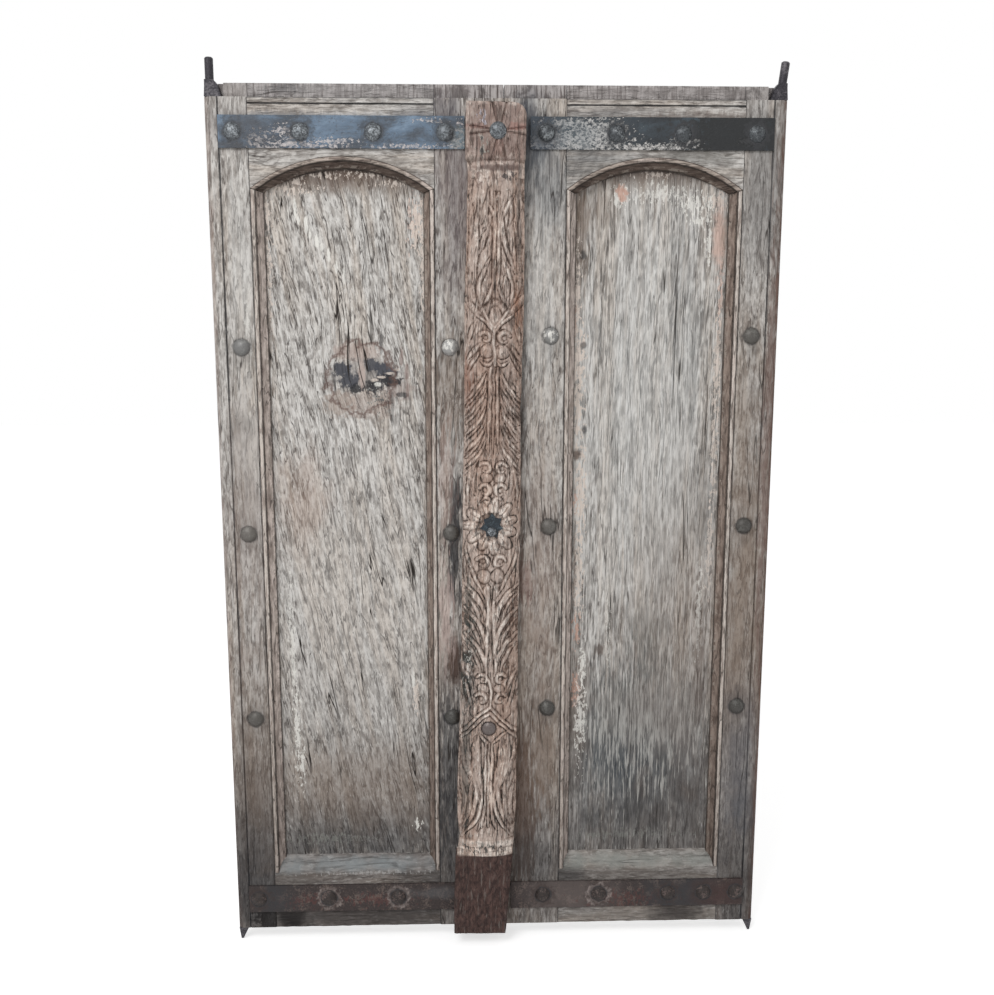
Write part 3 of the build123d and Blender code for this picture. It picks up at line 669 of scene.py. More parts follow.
def flower(relief):
    for hand in (-1, 1):
        relief.curl(hand * 11 + 1, 684, 8.0, 4.2, hand)
        relief.swell(hand * 9 + 1, 671, 8, 8, 3.6, dent=0.8)
        relief.curl(hand * 10 + 0.5, 653, 8.5, 4.4, hand)
        relief.rib([(hand * 15, 640), (hand * 8, 644), (hand * 1, 640)], 4, 3.6)
        relief.rib([(hand * 19, 700), (hand * 28, 680), (hand * 33, 655), (hand * 34, 632)], 4.5, 3.8)
        relief.rib([(hand * 23, 690), (hand * 26, 668), (hand * 24, 648)], 4.5, 3.2, ring=5)
        relief.curl(hand * 11.5, 554, 8.5, 4.2, hand)
        relief.swell(hand * 9, 535, 9, 9.5, 3.8, dent=1.0)
        relief.rib([(hand * 35, 585), (hand * 33, 560), (hand * 25, 540), (hand * 15, 520),
                    (hand * 5, 500)],
                   4.2, 3.8)
        relief.rib([(hand * 37, 560), (hand * 36, 535), (hand * 31, 515)], 4, 3.0)
        relief.rib([(hand * 5, 524), (hand * 8, 514), (hand * 5, 500)], 4.5, 3.8)
    centre = (-1.0, 604.0)
    for step in range(11):
        angle = 2 * math.pi * (step + 0.25) / 11
        inner, outer = 17.0, 33.0 + 3.0 * math.sin(3 * angle)
        inside = (centre[0] + inner * math.sin(angle), centre[1] + inner * math.cos(angle))
        tip = (centre[0] + outer * math.sin(angle), centre[1] + outer * math.cos(angle))
        relief.rib([inside, tip], 12.5, 4.8, thin=(0.6, 0.75), vein=2.0)


def rising_fronds(relief):
    relief.pair([(4.5, 520), (4, 480), (5, 440), (8, 400)], 4.6, 4.4, thin=(0.7, 0.8))
    relief.rib([(0, 515), (0, 470), (-1, 415)], 3.4, 2.8)
    for root in (474, 440, 404):
        relief.pair([(6, root - 12), (10, root + 12), (19, root + 30), (36, root + 48)], 5.0, 4.6,
                    thin=(0.6, 0.7), vein=0.9)
        relief.pair([(14, root - 8), (19, root + 10), (28, root + 25), (37, root + 34)], 4.0, 3.4)
    relief.pair([(10, 486), (20, 500), (36, 514)], 4.0, 3.8)
    relief.pair([(24, 372), (28, 384), (37, 398)], 5.0, 4.0)
    relief.pair([(25, 340), (30, 362), (36, 388)], 4.2, 3.6, vein=0.8)
    for hand in (-1, 1):
        relief.curl(hand * 12.5 + 3, 387, 7.5, 4.4, hand)
        relief.curl(hand * 13.5 + 2, 358, 8.0, 4.4, hand)
        relief.swell(hand * 11 + 2.5, 373, 7.5, 7, 3.4)
        relief.rib([(hand * 20 + 2, 352), (hand * 24 + 2, 338), (hand * 20 + 2, 328)], 8, 3.0)
    relief.rib([(-10, 392), (-2, 388), (2, 372), (1, 346)], 3.6, 4.6, thin=(0.7, 0.8))


# %% The lower bud
def lower_bud(relief):
    for shift in (0, -8.5):
        relief.rib([(-38, 306 + shift), (-20, 327 + shift), (1, 347 + shift)], 3.8, 4.6,
                   thin=(0.8, 0.9))
        relief.rib([(1, 347 + shift), (19, 327 + shift), (40, 307 + shift)], 3.8, 4.6, thin=(0.9, 0.8))
    for u, v in ((-26, 313), (-14, 325), (15, 325), (27, 312)):
        relief.cut([(u - 3, v - 3), (u + 3, v + 3)], 3.4, 1.8)
    relief.rib([(-13, 306), (-5, 296), (1, 290)], 3.6, 4.2)
    relief.rib([(27, 309), (14, 300), (5, 291)], 3.6, 4.2)
    for u in (-4.0, 1.0, 5.5):
        relief.rib([(u, 292), (u * 0.9, 235), (u, 200), (u * 1.8, 166)], 3.8, 4.6, thin=(0.6, 0.5))
    relief.rib([(-16, 300), (-18, 270), (-15, 245), (-9, 222)], 11, 3.8, thin=(0.5, 0.4), vein=1.4)
    relief.rib([(18, 300), (21, 272), (17, 248), (10, 222)], 12, 4.2, thin=(0.5, 0.4), vein=1.2)
    for hand in (-1, 1):
        relief.rib([(hand * 28, 304), (hand * 28, 278), (hand * 26, 252), (hand * 15, 224),
                    (hand * 12, 205)],
                   5.5, 4.2, vein=1.0)
        relief.rib([(hand * 37, 300), (hand * 36, 275), (hand * 31, 252), (hand * 23, 232)], 5.5,
                   3.8, ring=6)
        relief.rib([(hand * 9, 232), (hand * 9, 205), (hand * 16, 178), (hand * 35, 149)], 4.2, 4.4)
        relief.rib([(hand * 15, 238), (hand * 16, 212), (hand * 20, 190), (hand * 28, 166)], 5.0,
                   4.0, vein=1.0)
        relief.rib([(hand * 24, 240), (hand * 24, 214), (hand * 26, 188), (hand * 33, 166)], 5.0,
                   4.0, vein=1.0)
        relief.rib([(hand * 38, 238), (hand * 33, 212), (hand * 33, 190), (hand * 38, 170)], 5.0,
                   3.8, vein=1.0)
        relief.rib([(hand * 6, 190), (hand * 9, 172), (hand * 14, 160)], 4.0, 3.6)


# %% [markdown]
# The head is a square block with one rounded corner. Eight petals are cut round its nail, and a
# scalloped collar hangs below. The foot is a plain block under two thin collars. The section changes
# from one to the next in steps of a few millimetres.

# %% The strip as a skin
STRIP_CROWN, STRIP_SIDE, RELIEF = 30.0, 11.0, 5.0
HEAD_DEPTH, FOOT_DEPTH = 27.0, 28.0
HEAD_MIDDLE = (1.5, 1121)
PLATE_SEAT_HEIGHT, PLATE_SEAT_RADIUS = 604.5, 19.5
NAIL_SEAT_HEIGHT, NAIL_SEAT_RADIUS = 314, 11.5
EDGE_HEIGHTS = (0, 60, 119, 124, 146, 170, 200, 260, 330, 460, 560, 638, 760, 900, 980, 1060, 1084,
                1088, 1157)
LEFT_EDGE = (-45.5, -46, -44.5, -42, -39, -42, -43.5, -42.5, -40.5, -39.5, -40, -40, -39.5, -40.5,
             -39, -38.5,
             -39, -41.5, -41.5)
RIGHT_EDGE = (29.5, 33, 37, 37, 38.5, 40, 41, 40.5, 41, 39, 39.5, 39.5, 36.5, 38.5, 37.5, 35.5,
              35.5, 36.5, 36.5)


def crowned(u, half, side, crown):
    """The arched front of the bar."""
    return side + (crown - side) * (1 - np.clip(np.abs(u) / half, 0, 1) ** 2.2)


def strip_heights(u, v, left, right):
    """How far the strip stands off the leaf, and how high its carving stands from 0 to 1."""
    relief = Relief(u + 1.1 * wander(u / 8, v / 13, 201), v + 1.6 * wander(u / 10, v / 15, 202))
    for part in (upper_bud, garland, falling_fronds, flower, rising_fronds, lower_bud):
        part(relief)
    # The ground lies halfway up the ribs, and deeper in pockets between the fronds near the edges.
    pocket = ease(np.abs(u), 12, 25) * (ease(v, 330, 380) * ease(v, 530, 480) + 0.7 * ease(v, 260, 200)
                                        + 0.5 * ease(v, 700, 740) * ease(v, 850, 800))
    pocket = pocket * ease(wander(u / 11, v / 13, 207), -0.5, 0.5)
    level = 0.52 * RELIEF * (1 - 0.85 * pocket)
    chisel = 0.5 * wander(u / 2.4, v / 15, 219) + 0.35 * wander(u / 1.7, v / 7, 223)
    carved = np.clip(relief.standing(level + chisel), -0.5, RELIEF)
    chip = ease(wander(u / 7, v / 16, 203), 0.15, 0.8) * ease(np.abs(u), 16, 34)
    worn = 0.85 + 0.15 * ease(wander(u / 16, v / 40, 211), -0.6, 0.6)
    carved = carved * worn * (1 - 0.3 * chip)
    pits = np.clip(wander(u / 2.2, v / 3.4, 217) + 0.1, 0, 1) * ease(carved, 2.6, 0.8)
    ground = crowned(u, 41, STRIP_SIDE, STRIP_CROWN - RELIEF)
    shaft = ground + carved - 1.3 * pits
    plate_seat = np.hypot(u, v - PLATE_SEAT_HEIGHT) < PLATE_SEAT_RADIUS
    shaft = np.where(plate_seat, np.minimum(shaft, STRIP_CROWN - RELIEF - 3), shaft)
    nail_seat = np.hypot(u, v - NAIL_SEAT_HEIGHT) < NAIL_SEAT_RADIUS
    shaft = np.where(nail_seat, STRIP_CROWN - RELIEF - 1, shaft)
    shaft = shaft + 1.6 * ease(v, 152, 147) * (v > 140)
    mask = (carved - 1.2 * pits) / RELIEF
    # The scalloped collar under the head.
    lobes = 2.2 * np.abs(np.sin(math.pi * (u + 38) / 15.5)) ** 0.7
    collar_foot = COLLAR_LOW + 2.5 - lobes
    collar = crowned(u, 44, STRIP_SIDE + 4, HEAD_DEPTH) - 1.5 * ease(v, 1078, 1084)
    collar = collar - 1.4 * ease(v, 1070, 1063) * (1 - lobes / 2.2)
    second = crowned(u, 42, STRIP_SIDE, 25.5) + 1.6 * ease(v, 1050, 1054) * (
        np.abs(np.sin(math.pi * (u + 30) / 15.5)) > 0.35)
    depth = np.where(v > 1046, np.maximum(shaft, second), shaft)
    depth = np.where(v > collar_foot, collar, depth)
    mask = np.where(v > collar_foot, 0.75 - 0.5 * (1 - lobes / 2.2) * (v < 1070), mask)
    # The square head and its petals.
    head = Relief(u, v)
    middle_u, middle_v = HEAD_MIDDLE
    far = np.hypot(u - middle_u, v - middle_v)
    angle = np.arctan2(v - middle_v, u - middle_u)
    for quarter, spread in ((0, 8), (90, 15), (180, 8), (270, 15)):
        for hand in (-1, 1):
            turn = math.radians(quarter + hand * spread)
            head.cut([(middle_u + 10 * math.cos(turn), middle_v + 10 * math.sin(turn)),
                      (middle_u + 37 * math.cos(turn), middle_v + 37 * math.sin(turn))], 3.4, 2.0)
    scoop = 1.5 * (0.5 - 0.5 * np.cos(4 * angle)) * ease(far, 9, 20) * ease(far, 44, 30)
    waved = u + 1.5 * wander(u / 9, v / 20, 225)
    flutes = 0.9 * np.abs(np.sin(math.pi * waved / 5.6)) * ease(v, 1112, 1100)
    veins = 0.45 * wander(far / 30, angle * 9, 221) + 0.4 * wander(u / 3.2, v / 11, 231)
    petals = np.clip(-head.cuts - scoop - flutes, -3.0, 0)
    block = HEAD_DEPTH + petals + veins
    border = np.minimum(np.minimum(u - left, right - u), np.minimum(v - HEAD_LOW, STRIP_LENGTH - v))
    block = block - 0.9 * np.clip(3.5 - border, 0, 3.5)
    depth = np.where(v > HEAD_LOW, block, depth)
    head_mask = 0.78 + 0.5 * np.clip(-head.cuts, -1.5, 0) + 0.16 * (petals + head.cuts) + 0.2 * veins
    mask = np.where(v > HEAD_LOW, head_mask, mask)
    # The two collars and the plain foot.
    bands = crowned(u, 44, STRIP_SIDE + 6, STRIP_CROWN - 1)
    bands = bands - 2.4 * np.exp(-((v - 134 - 1.2 * wander(u / 12, v, 227)) / 1.6) ** 2)
    bands = bands - 1.5 * np.exp(-((v - 128 - 1.5 * wander(u / 9, v, 229)) / 1.1) ** 2)
    depth = np.where(v < CARVING_LOW, bands, depth)
    mask = np.where(v < CARVING_LOW, 0.7, mask)
    foot = np.full(u.shape, FOOT_DEPTH - 0.6) + 0.5 * wander(u / 14, v / 50, 233)
    border = np.minimum(np.minimum(u - left, right - u), np.minimum(v, FOOT_TOP - v + 2))
    foot = foot - 0.8 * np.clip(3.0 - border, 0, 3.0)
    depth = np.where(v < FOOT_TOP, foot, depth)
    mask = np.where(v < FOOT_TOP, 0.6, mask)
    fibres = 0.22 * wander(u / 1.5, v / 24, 239) + 0.25 * wander(u / 3.1, v / 60, 241)
    edge = np.minimum(u - left, right - u)
    return depth + fibres - 1.2 * np.exp(-edge / 1.2), np.clip(mask, 0, 1)


STRIP_COLUMNS, STRIP_ROWS = 104, 860
strip, column, row = skin_grid("carved_strip", STRIP_COLUMNS, STRIP_ROWS)
v = row * STRIP_LENGTH / STRIP_ROWS
knock = 0.7 * wander(v / 9, v * 0 + 0.5, 251) + 0.5 * wander(v / 31, v * 0 + 0.5, 257)
left = np.interp(v, EDGE_HEIGHTS, LEFT_EDGE) + np.clip(knock, 0, 2)
right = np.interp(v, EDGE_HEIGHTS, RIGHT_EDGE) - np.clip(-knock, 0, 2)
HEAD_CORNER = 17.0
low_in_corner = np.clip(v - (STRIP_LENGTH - HEAD_CORNER), 0, HEAD_CORNER)
right = right - HEAD_CORNER + np.sqrt(HEAD_CORNER ** 2 - low_in_corner ** 2)
u = left + (right - left) * column / STRIP_COLUMNS
height, relief = strip_heights(u, v, left, right)
x = STRIP_FOOT_X + u * math.cos(LEAN) + v * math.sin(LEAN)
z = v * math.cos(LEAN) - u * math.sin(LEAN)
bent = u + 2.5 * wander(u / 40, v / 150, 263)
finish_skin(strip, np.column_stack([x, FACE - height, z]), np.column_stack([bent, v]), relief,
            FACE - 0.5)
strip["stands_for"] = "meeting_strip"

# %% [markdown]
# Each finish is built from nodes. A few short helpers add a node and join it, so that a finish reads
# from top to bottom: where the pattern lies, the masks, then the colours laid over each other.

# %% Node helpers
def join(tree, value, socket):
    """Link an output to a socket, or set the socket to a plain value."""
    if isinstance(value, bpy.types.NodeSocket):
        tree.links.new(value, socket)
    elif value is not None:
        socket.default_value = value


def figure(tree, operation, first, second=None, third=None):
    """A Math node."""
    node = tree.nodes.new("ShaderNodeMath")
    node.operation = operation
    for value, socket in zip((first, second, third), node.inputs):
        join(tree, value, socket)
    return node.outputs[0]


def vector(tree, operation, first, second=None):
    """A Vector Math node."""
    node = tree.nodes.new("ShaderNodeVectorMath")
    node.operation = operation
    join(tree, first, node.inputs[0])
    join(tree, second, node.inputs[1])
    return node.outputs["Value"] if operation == "LENGTH" else node.outputs[0]


def fade(tree, value, low, high, start=0.0, end=1.0):
    """A smooth change from one value to another as the input passes from low to high."""
    node = tree.nodes.new("ShaderNodeMapRange")
    node.interpolation_type = "SMOOTHSTEP"
    for name, setting in (("Value", value), ("From Min", low), ("From Max", high),
                          ("To Min", start), ("To Max", end)):
        join(tree, setting, node.inputs[name])
    return node.outputs["Result"]


def cloud(tree, place, size=(1.0, 1.0, 1.0), detail=3.0, rough=0.55, bend=0.0):
    """A Noise Texture with a fineness along each axis, in turns a metre."""
    node = tree.nodes.new("ShaderNodeTexNoise")
    join(tree, vector(tree, "MULTIPLY", place, size), node.inputs["Vector"])
    node.inputs["Scale"].default_value = 1.0
    node.inputs["Detail"].default_value = detail
    node.inputs["Roughness"].default_value = rough
    node.inputs["Distortion"].default_value = bend
    return node.outputs["Fac"]


def lay(tree, under, over, mask, blend="MIX"):
    """Lay one colour over another where the mask says."""
    node = tree.nodes.new("ShaderNodeMix")
    node.data_type = "RGBA"
    node.blend_type = blend
    join(tree, mask, node.inputs["Factor"])
    for value, socket in ((under, node.inputs["A"]), (over, node.inputs["B"])):
        plain = not isinstance(value, bpy.types.NodeSocket)
        join(tree, (*value, 1.0) if plain else value, socket_of(node, socket))
    return next(s for s in node.outputs if s.type == "RGBA")


def socket_of(node, socket):
    """The colour socket of a Mix node that has the same name as the one given."""
    return next(s for s in node.inputs if s.type == "RGBA" and s.name == socket.name)


def group(name, inputs, outputs):
    """An empty node group with named sockets."""
    tree = bpy.data.node_groups.new(name, "ShaderNodeTree")
    for title, kind, value in inputs:
        socket = tree.interface.new_socket(title, in_out="INPUT", socket_type="NodeSocket" + kind)
        if value is not None:
            socket.default_value = value
    for title, kind in outputs:
        tree.interface.new_socket(title, in_out="OUTPUT", socket_type="NodeSocket" + kind)
    return tree, tree.nodes.new("NodeGroupInput").outputs, tree.nodes.new("NodeGroupOutput").inputs


def placed(tree, shared, **values):
    """A group placed in a material with its own values."""
    node = tree.nodes.new("ShaderNodeGroup")
    node.node_tree = shared
    for name, value in values.items():
        join(tree, value, node.inputs[name.replace("_", " ")])
    return node.outputs


# %% [markdown]
# Three effects are shared. Grain gives soft lines, short dark pores, long cracks and splits along a
# board. A patch is a ragged oval at one place, for stains, knots and scraps of old paint. Grime
# gathers in clouds and towards the foot of the door.

# %% Shared effects
grain_tree, given, result = group(
    "weathered_grain",
    [("Place", "Vector", None), ("Seed", "Float", 0.0)],
    [("Lines", "Float"), ("Pores", "Float"), ("Cracks", "Float"), ("Bands", "Float"),
     ("Splits", "Float"),
     ("Mottle", "Float"), ("Glints", "Float")])
combine = grain_tree.nodes.new("ShaderNodeCombineXYZ")
join(grain_tree, given["Seed"], combine.inputs["Z"])
along_grain = vector(grain_tree, "ADD", given["Place"], combine.outputs[0])
soft_lines = cloud(grain_tree, along_grain, (320, 40, 1), 3, 0.6, 0.25)
join(grain_tree, fade(grain_tree, soft_lines, 0.3, 0.7), result["Lines"])
pores = cloud(grain_tree, along_grain, (430, 75, 1), 2, 0.55)
join(grain_tree, fade(grain_tree, pores, 0.42, 0.31), result["Pores"])
join(grain_tree, fade(grain_tree, cloud(grain_tree, along_grain, (360, 95, 7), 3, 0.6), 0.57, 0.68),
     result["Glints"])
edge = figure(grain_tree, "ABSOLUTE", figure(grain_tree, "SUBTRACT", cloud(
    grain_tree, along_grain, (150, 19, 1), 2, 0.5, 0.35), 0.5))
broken = fade(grain_tree, cloud(grain_tree, along_grain, (90, 30, 1), 2, 0.5), 0.42, 0.56)
join(grain_tree, figure(grain_tree, "MULTIPLY", fade(grain_tree, edge, 0.03, 0.008), broken),
     result["Cracks"])
join(grain_tree, cloud(grain_tree, along_grain, (44, 3.5, 1), 3, 0.6, 0.4), result["Bands"])
edge = figure(grain_tree, "ABSOLUTE", figure(grain_tree, "SUBTRACT", cloud(
    grain_tree, along_grain, (70, 4, 1), 2, 0.5, 0.3), 0.5))
broken = fade(grain_tree, cloud(grain_tree, along_grain, (30, 7, 1), 2, 0.5), 0.52, 0.62)
join(grain_tree, figure(grain_tree, "MULTIPLY", fade(grain_tree, edge, 0.014, 0.003), broken),
     result["Splits"])
join(grain_tree, fade(grain_tree, cloud(grain_tree, along_grain, (190, 95, 1), 4, 0.65, 0.5), 0.3, 0.7),
     result["Mottle"])

patch_tree, given, result = group(
    "patch",
    [("Place", "Vector", None), ("Centre", "Vector", None), ("Size", "Vector", (0.01, 0.01, 0.01)),
     ("Fineness", "Vector", (60.0, 60.0, 60.0)), ("Ragged", "Float", 1.0), ("Softness", "Float", 0.3),
     ("Sparse", "Float", 0.0), ("Hollow", "Float", -5.0)],
    [("Mask", "Float")])
away = vector(patch_tree, "LENGTH", vector(
    patch_tree, "DIVIDE", vector(patch_tree, "SUBTRACT", given["Place"], given["Centre"]),
    given["Size"]))
rag = figure(patch_tree, "SUBTRACT", cloud(patch_tree, given["Place"], given["Fineness"], 3, 0.64), 0.5)
away = figure(patch_tree, "ADD", figure(patch_tree, "ADD", away, given["Sparse"]), figure(
    patch_tree, "MULTIPLY", rag, given["Ragged"]))
whole = fade(patch_tree, away, figure(patch_tree, "ADD", 1.0, given["Softness"]), figure(
    patch_tree, "SUBTRACT", 1.0, given["Softness"]))
beyond = fade(patch_tree, away, figure(patch_tree, "SUBTRACT", given["Hollow"], given["Softness"]), figure(
    patch_tree, "ADD", given["Hollow"], given["Softness"]))
join(patch_tree, figure(patch_tree, "MULTIPLY", whole, beyond), result["Mask"])

grime_tree, given, result = group(
    "grime", [("Place", "Vector", None), ("Seed", "Float", 0.0)],
    [("Foot", "Float"), ("Cloud", "Float")])
apart = grime_tree.nodes.new("ShaderNodeSeparateXYZ")
join(grime_tree, given["Place"], apart.inputs[0])
combine = grime_tree.nodes.new("ShaderNodeCombineXYZ")
join(grime_tree, given["Seed"], combine.inputs["Y"])
moved = vector(grime_tree, "ADD", given["Place"], combine.outputs[0])
broad = cloud(grime_tree, moved, (11, 9, 5), 4, 0.6, 0.4)
level = figure(grime_tree, "ADD", apart.outputs["Z"], figure(grime_tree, "MULTIPLY", broad, 0.36))
join(grime_tree, fade(grime_tree, level, 0.66, 0.2), result["Foot"])
join(grime_tree, fade(grime_tree, cloud(grime_tree, moved, (26, 20, 9), 4, 0.65, 0.5), 0.3, 0.7),
     result["Cloud"])


# %% [markdown]
# Weathered teak is grey where the sun has bleached the ridges, brown in the washed grooves and nearly
# black in the pores and splits. The skin's relief paints the grooves darker and the ridges lighter as
# well, partly this weathering and partly painted shade and painted highlight. The lower half is
# browner, and the foot is stained dark. Knots, stains and scraps of old paint are patches laid over
# that, each at its own place on the door. Some patches are painted light and shade instead: a shadow
# under each arch, a shadow beside the strip, a dark line under the step of the head, a highlight on
# each sill, a highlight in the large knot and a shadow ring round each stud.

# %% Weathered teak
def new_material(name):
    material = bpy.data.materials.new(name)
    material.use_nodes = True
    tree = material.node_tree
    return material, tree, tree.nodes["Principled BSDF"]


def read(tree, kind, name=None):
    """The piece's own UV map, an attribute of its points or its Object coordinates."""
    if kind == "uv":
        node = tree.nodes.new("ShaderNodeUVMap")
        node.uv_map = name
        return node.outputs[0]
    if kind == "attribute":
        node = tree.nodes.new("ShaderNodeAttribute")
        node.attribute_name = name
        return node.outputs["Fac"]
    return tree.nodes.new("ShaderNodeTexCoord").outputs["Object"]


def bump(tree, shader, height, distance, strength=1.0):
    node = tree.nodes.new("ShaderNodeBump")
    node.inputs["Distance"].default_value = distance
    node.inputs["Strength"].default_value = strength
    join(tree, height, node.inputs["Height"])
    join(tree, node.outputs[0], shader.inputs["Normal"])


# How a patch breaks up: fineness across, through and up, how ragged it is, how soft its edge is, how
# sparse it is and, for a ring, where it is hollow.
STAIN = ((32.0, 20.0, 18.0), 2.4, 0.8, 0.0)
STREAK = ((260.0, 90.0, 30.0), 4.0, 0.5, 0.0)
KNOT = ((140.0, 5.0, 130.0), 2.6, 0.3, 0.0)
PAINT = ((250.0, 90.0, 110.0), 7.0, 0.15, 0.3)
DASH = ((200.0, 5.0, 60.0), 2.2, 0.3, 0.0)
FLAKES = ((250.0, 5.0, 120.0), 8.0, 0.15, 0.5)
SPECKS = ((330.0, 5.0, 210.0), 9.0, 0.2, 0.9)
SEAM = ((60.0, 60.0, 90.0), 1.6, 0.5, 0.0)
THREADS = ((300.0, 5.0, 22.0), 7.0, 0.3, 0.6)
RING = ((60.0, 5.0, 60.0), 0.9, 0.07, 0.0, 0.88)
HALO = ((110.0, 5.0, 110.0), 1.6, 0.16, 0.0, 0.72)
DISC = ((90.0, 5.0, 90.0), 0.6, 0.12, 0.0)
WHOLE = 5000.0


def patches(tree, colour, where, depth, spots, reach=15.0):
    """Lay ragged patches over a colour. Each has x, z, width, height, colour, strength and a kind.
    They lie about one depth and fade out beyond their reach, so the back stays clear."""
    for x, z, wide, tall, tint, strength, (fineness, ragged, softness, sparse, *hollow) in spots:
        mask = placed(tree, patch_tree, Place=where, Centre=(x * MM, depth * MM, z * MM),
                      Size=(wide / 2 * MM, reach * MM, tall / 2 * MM), Fineness=fineness, Ragged=ragged,
                      Softness=softness, Sparse=sparse, Hollow=hollow[0] if hollow else None)["Mask"]
        colour = lay(tree, colour, tint, figure(tree, "MULTIPLY", mask, strength))
    return colour


def tinted(tree, colour, tint, amount):
    """Multiply a colour by a tint, as far as a mask says."""
    return lay(tree, colour, tint, amount, "MULTIPLY")


def sawn_tongue(tree, where, colour):
    """The light tongue above the shoulder, with its upright saw lines."""
    apart = tree.nodes.new("ShaderNodeSeparateXYZ")
    join(tree, where, apart.inputs[0])
    saw = cloud(tree, where, (330, 5, 22), 3, 0.6)
    sawn = lay(tree, (0.13, 0.11, 0.105), (0.46, 0.43, 0.42), fade(tree, saw, 0.34, 0.56))
    worn = fade(tree, cloud(tree, where, (45, 5, 60), 4, 0.65, 0.4), 0.56, 0.4, 0.0, 0.75)
    sawn = lay(tree, sawn, (0.12, 0.105, 0.10), worn)
    shoulder = (SHOULDER + 1) * MM
    return lay(tree, colour, sawn,
               fade(tree, apart.outputs["Z"], shoulder - 0.5 * MM, shoulder + 0.5 * MM))


FINE_GRAIN, BROAD_GRAIN = (1.0, 0.9, 1.0), (1.45, 0.55, 1.0)


def teak(name, seed, tones, spots, dark_lines=1.0, foot=0.75, depth=10.0, stretch=FINE_GRAIN):
    """Bare weathered timber, from the piece's own grain map."""
    glints = 0.55 if name.endswith("panel") else 0.25
    material, tree, shader = new_material(name)
    where = read(tree, "object")
    high = read(tree, "attribute", "relief")
    place = vector(tree, "MULTIPLY", read(tree, "uv", "grain"), stretch)
    grain = placed(tree, grain_tree, Place=place, Seed=seed)
    grime = placed(tree, grime_tree, Place=where, Seed=seed)
    dark, middle, light = tones
    tone = figure(tree, "ADD", figure(tree, "MULTIPLY", grain["Lines"], 0.45),
                  figure(tree, "MULTIPLY", grain["Mottle"], 0.4))
    # The ridges are painted lighter by the stored relief: partly bleaching, partly painted highlight.
    tone = figure(tree, "ADD", tone, figure(tree, "MULTIPLY", high, 0.25))
    colour = lay(tree, middle, light, fade(tree, tone, 0.25, 0.85))
    colour = tinted(tree, colour, (0.88, 0.79, 0.71), fade(tree, grain["Bands"], 0.42, 0.66, 0.0, 0.6))
    colour = tinted(tree, colour, (0.66, 0.64, 0.63), figure(tree, "MULTIPLY", grime["Cloud"], 0.35))
    colour = tinted(tree, colour, (0.36, 0.34, 0.34), figure(tree, "MULTIPLY", grime["Foot"], foot))
    # The grooves are painted darker by the stored relief: partly the washed grooves' own colour, partly
    # painted shade.
    colour = lay(tree, colour, dark, fade(tree, high, 0.35, 0.0, 0.0, 0.45 * dark_lines))
    colour = lay(tree, colour, dark, figure(tree, "MULTIPLY", grain["Pores"], 0.62 * dark_lines))
    colour = lay(tree, colour, dark, figure(tree, "MULTIPLY", grain["Cracks"], 0.85 * dark_lines))
    colour = lay(tree, colour, (0.86, 0.84, 0.80), figure(tree, "MULTIPLY", grain["Glints"], glints))
    if not name.endswith(("panel", "bottom_rail")):
        colour = sawn_tongue(tree, where, colour)
    colour = patches(tree, colour, where, depth, spots, 8.0 if name.endswith("panel") else 15.0)
    colour = lay(tree, colour, (0.022, 0.017, 0.014),
                 figure(tree, "MULTIPLY", grain["Splits"], dark_lines))
    join(tree, colour, shader.inputs["Base Color"])
    join(tree, fade(tree, tone, 0.2, 0.9, 0.95, 0.75), shader.inputs["Roughness"])
    shader.inputs["Specular IOR Level"].default_value = 0.3
    holes = figure(tree, "ADD", figure(tree, "MULTIPLY", grain["Pores"], 0.5), figure(
        tree, "ADD", grain["Cracks"], grain["Splits"]))
    bump(tree, shader, figure(tree, "SUBTRACT", tone, holes), 0.0013, 0.75)
    return material


PANEL_TONES = ((0.085, 0.073, 0.066), (0.43, 0.405, 0.38), (0.75, 0.73, 0.70))
STILE_TONES = ((0.085, 0.068, 0.060), (0.36, 0.335, 0.312), (0.64, 0.615, 0.585))
BLACK, BROWN, BLUE = (0.028, 0.029, 0.033), (0.10, 0.062, 0.045), (0.045, 0.058, 0.07)
CREAM, CHALK = (0.74, 0.65, 0.58), (0.84, 0.82, 0.77)
SALMON, UMBER = (0.60, 0.37, 0.29), (0.20, 0.145, 0.11)
BLUSH = (0.66, 0.49, 0.42)
OLIVE, SLATE = (0.31, 0.32, 0.29), (0.075, 0.078, 0.092)
BEAD_PAINT, PAINTED_ARCH_SHADOW = (0.17, 0.085, 0.065), (0.115, 0.085, 0.075)
STUD_STAIN = (0.07, 0.06, 0.055)

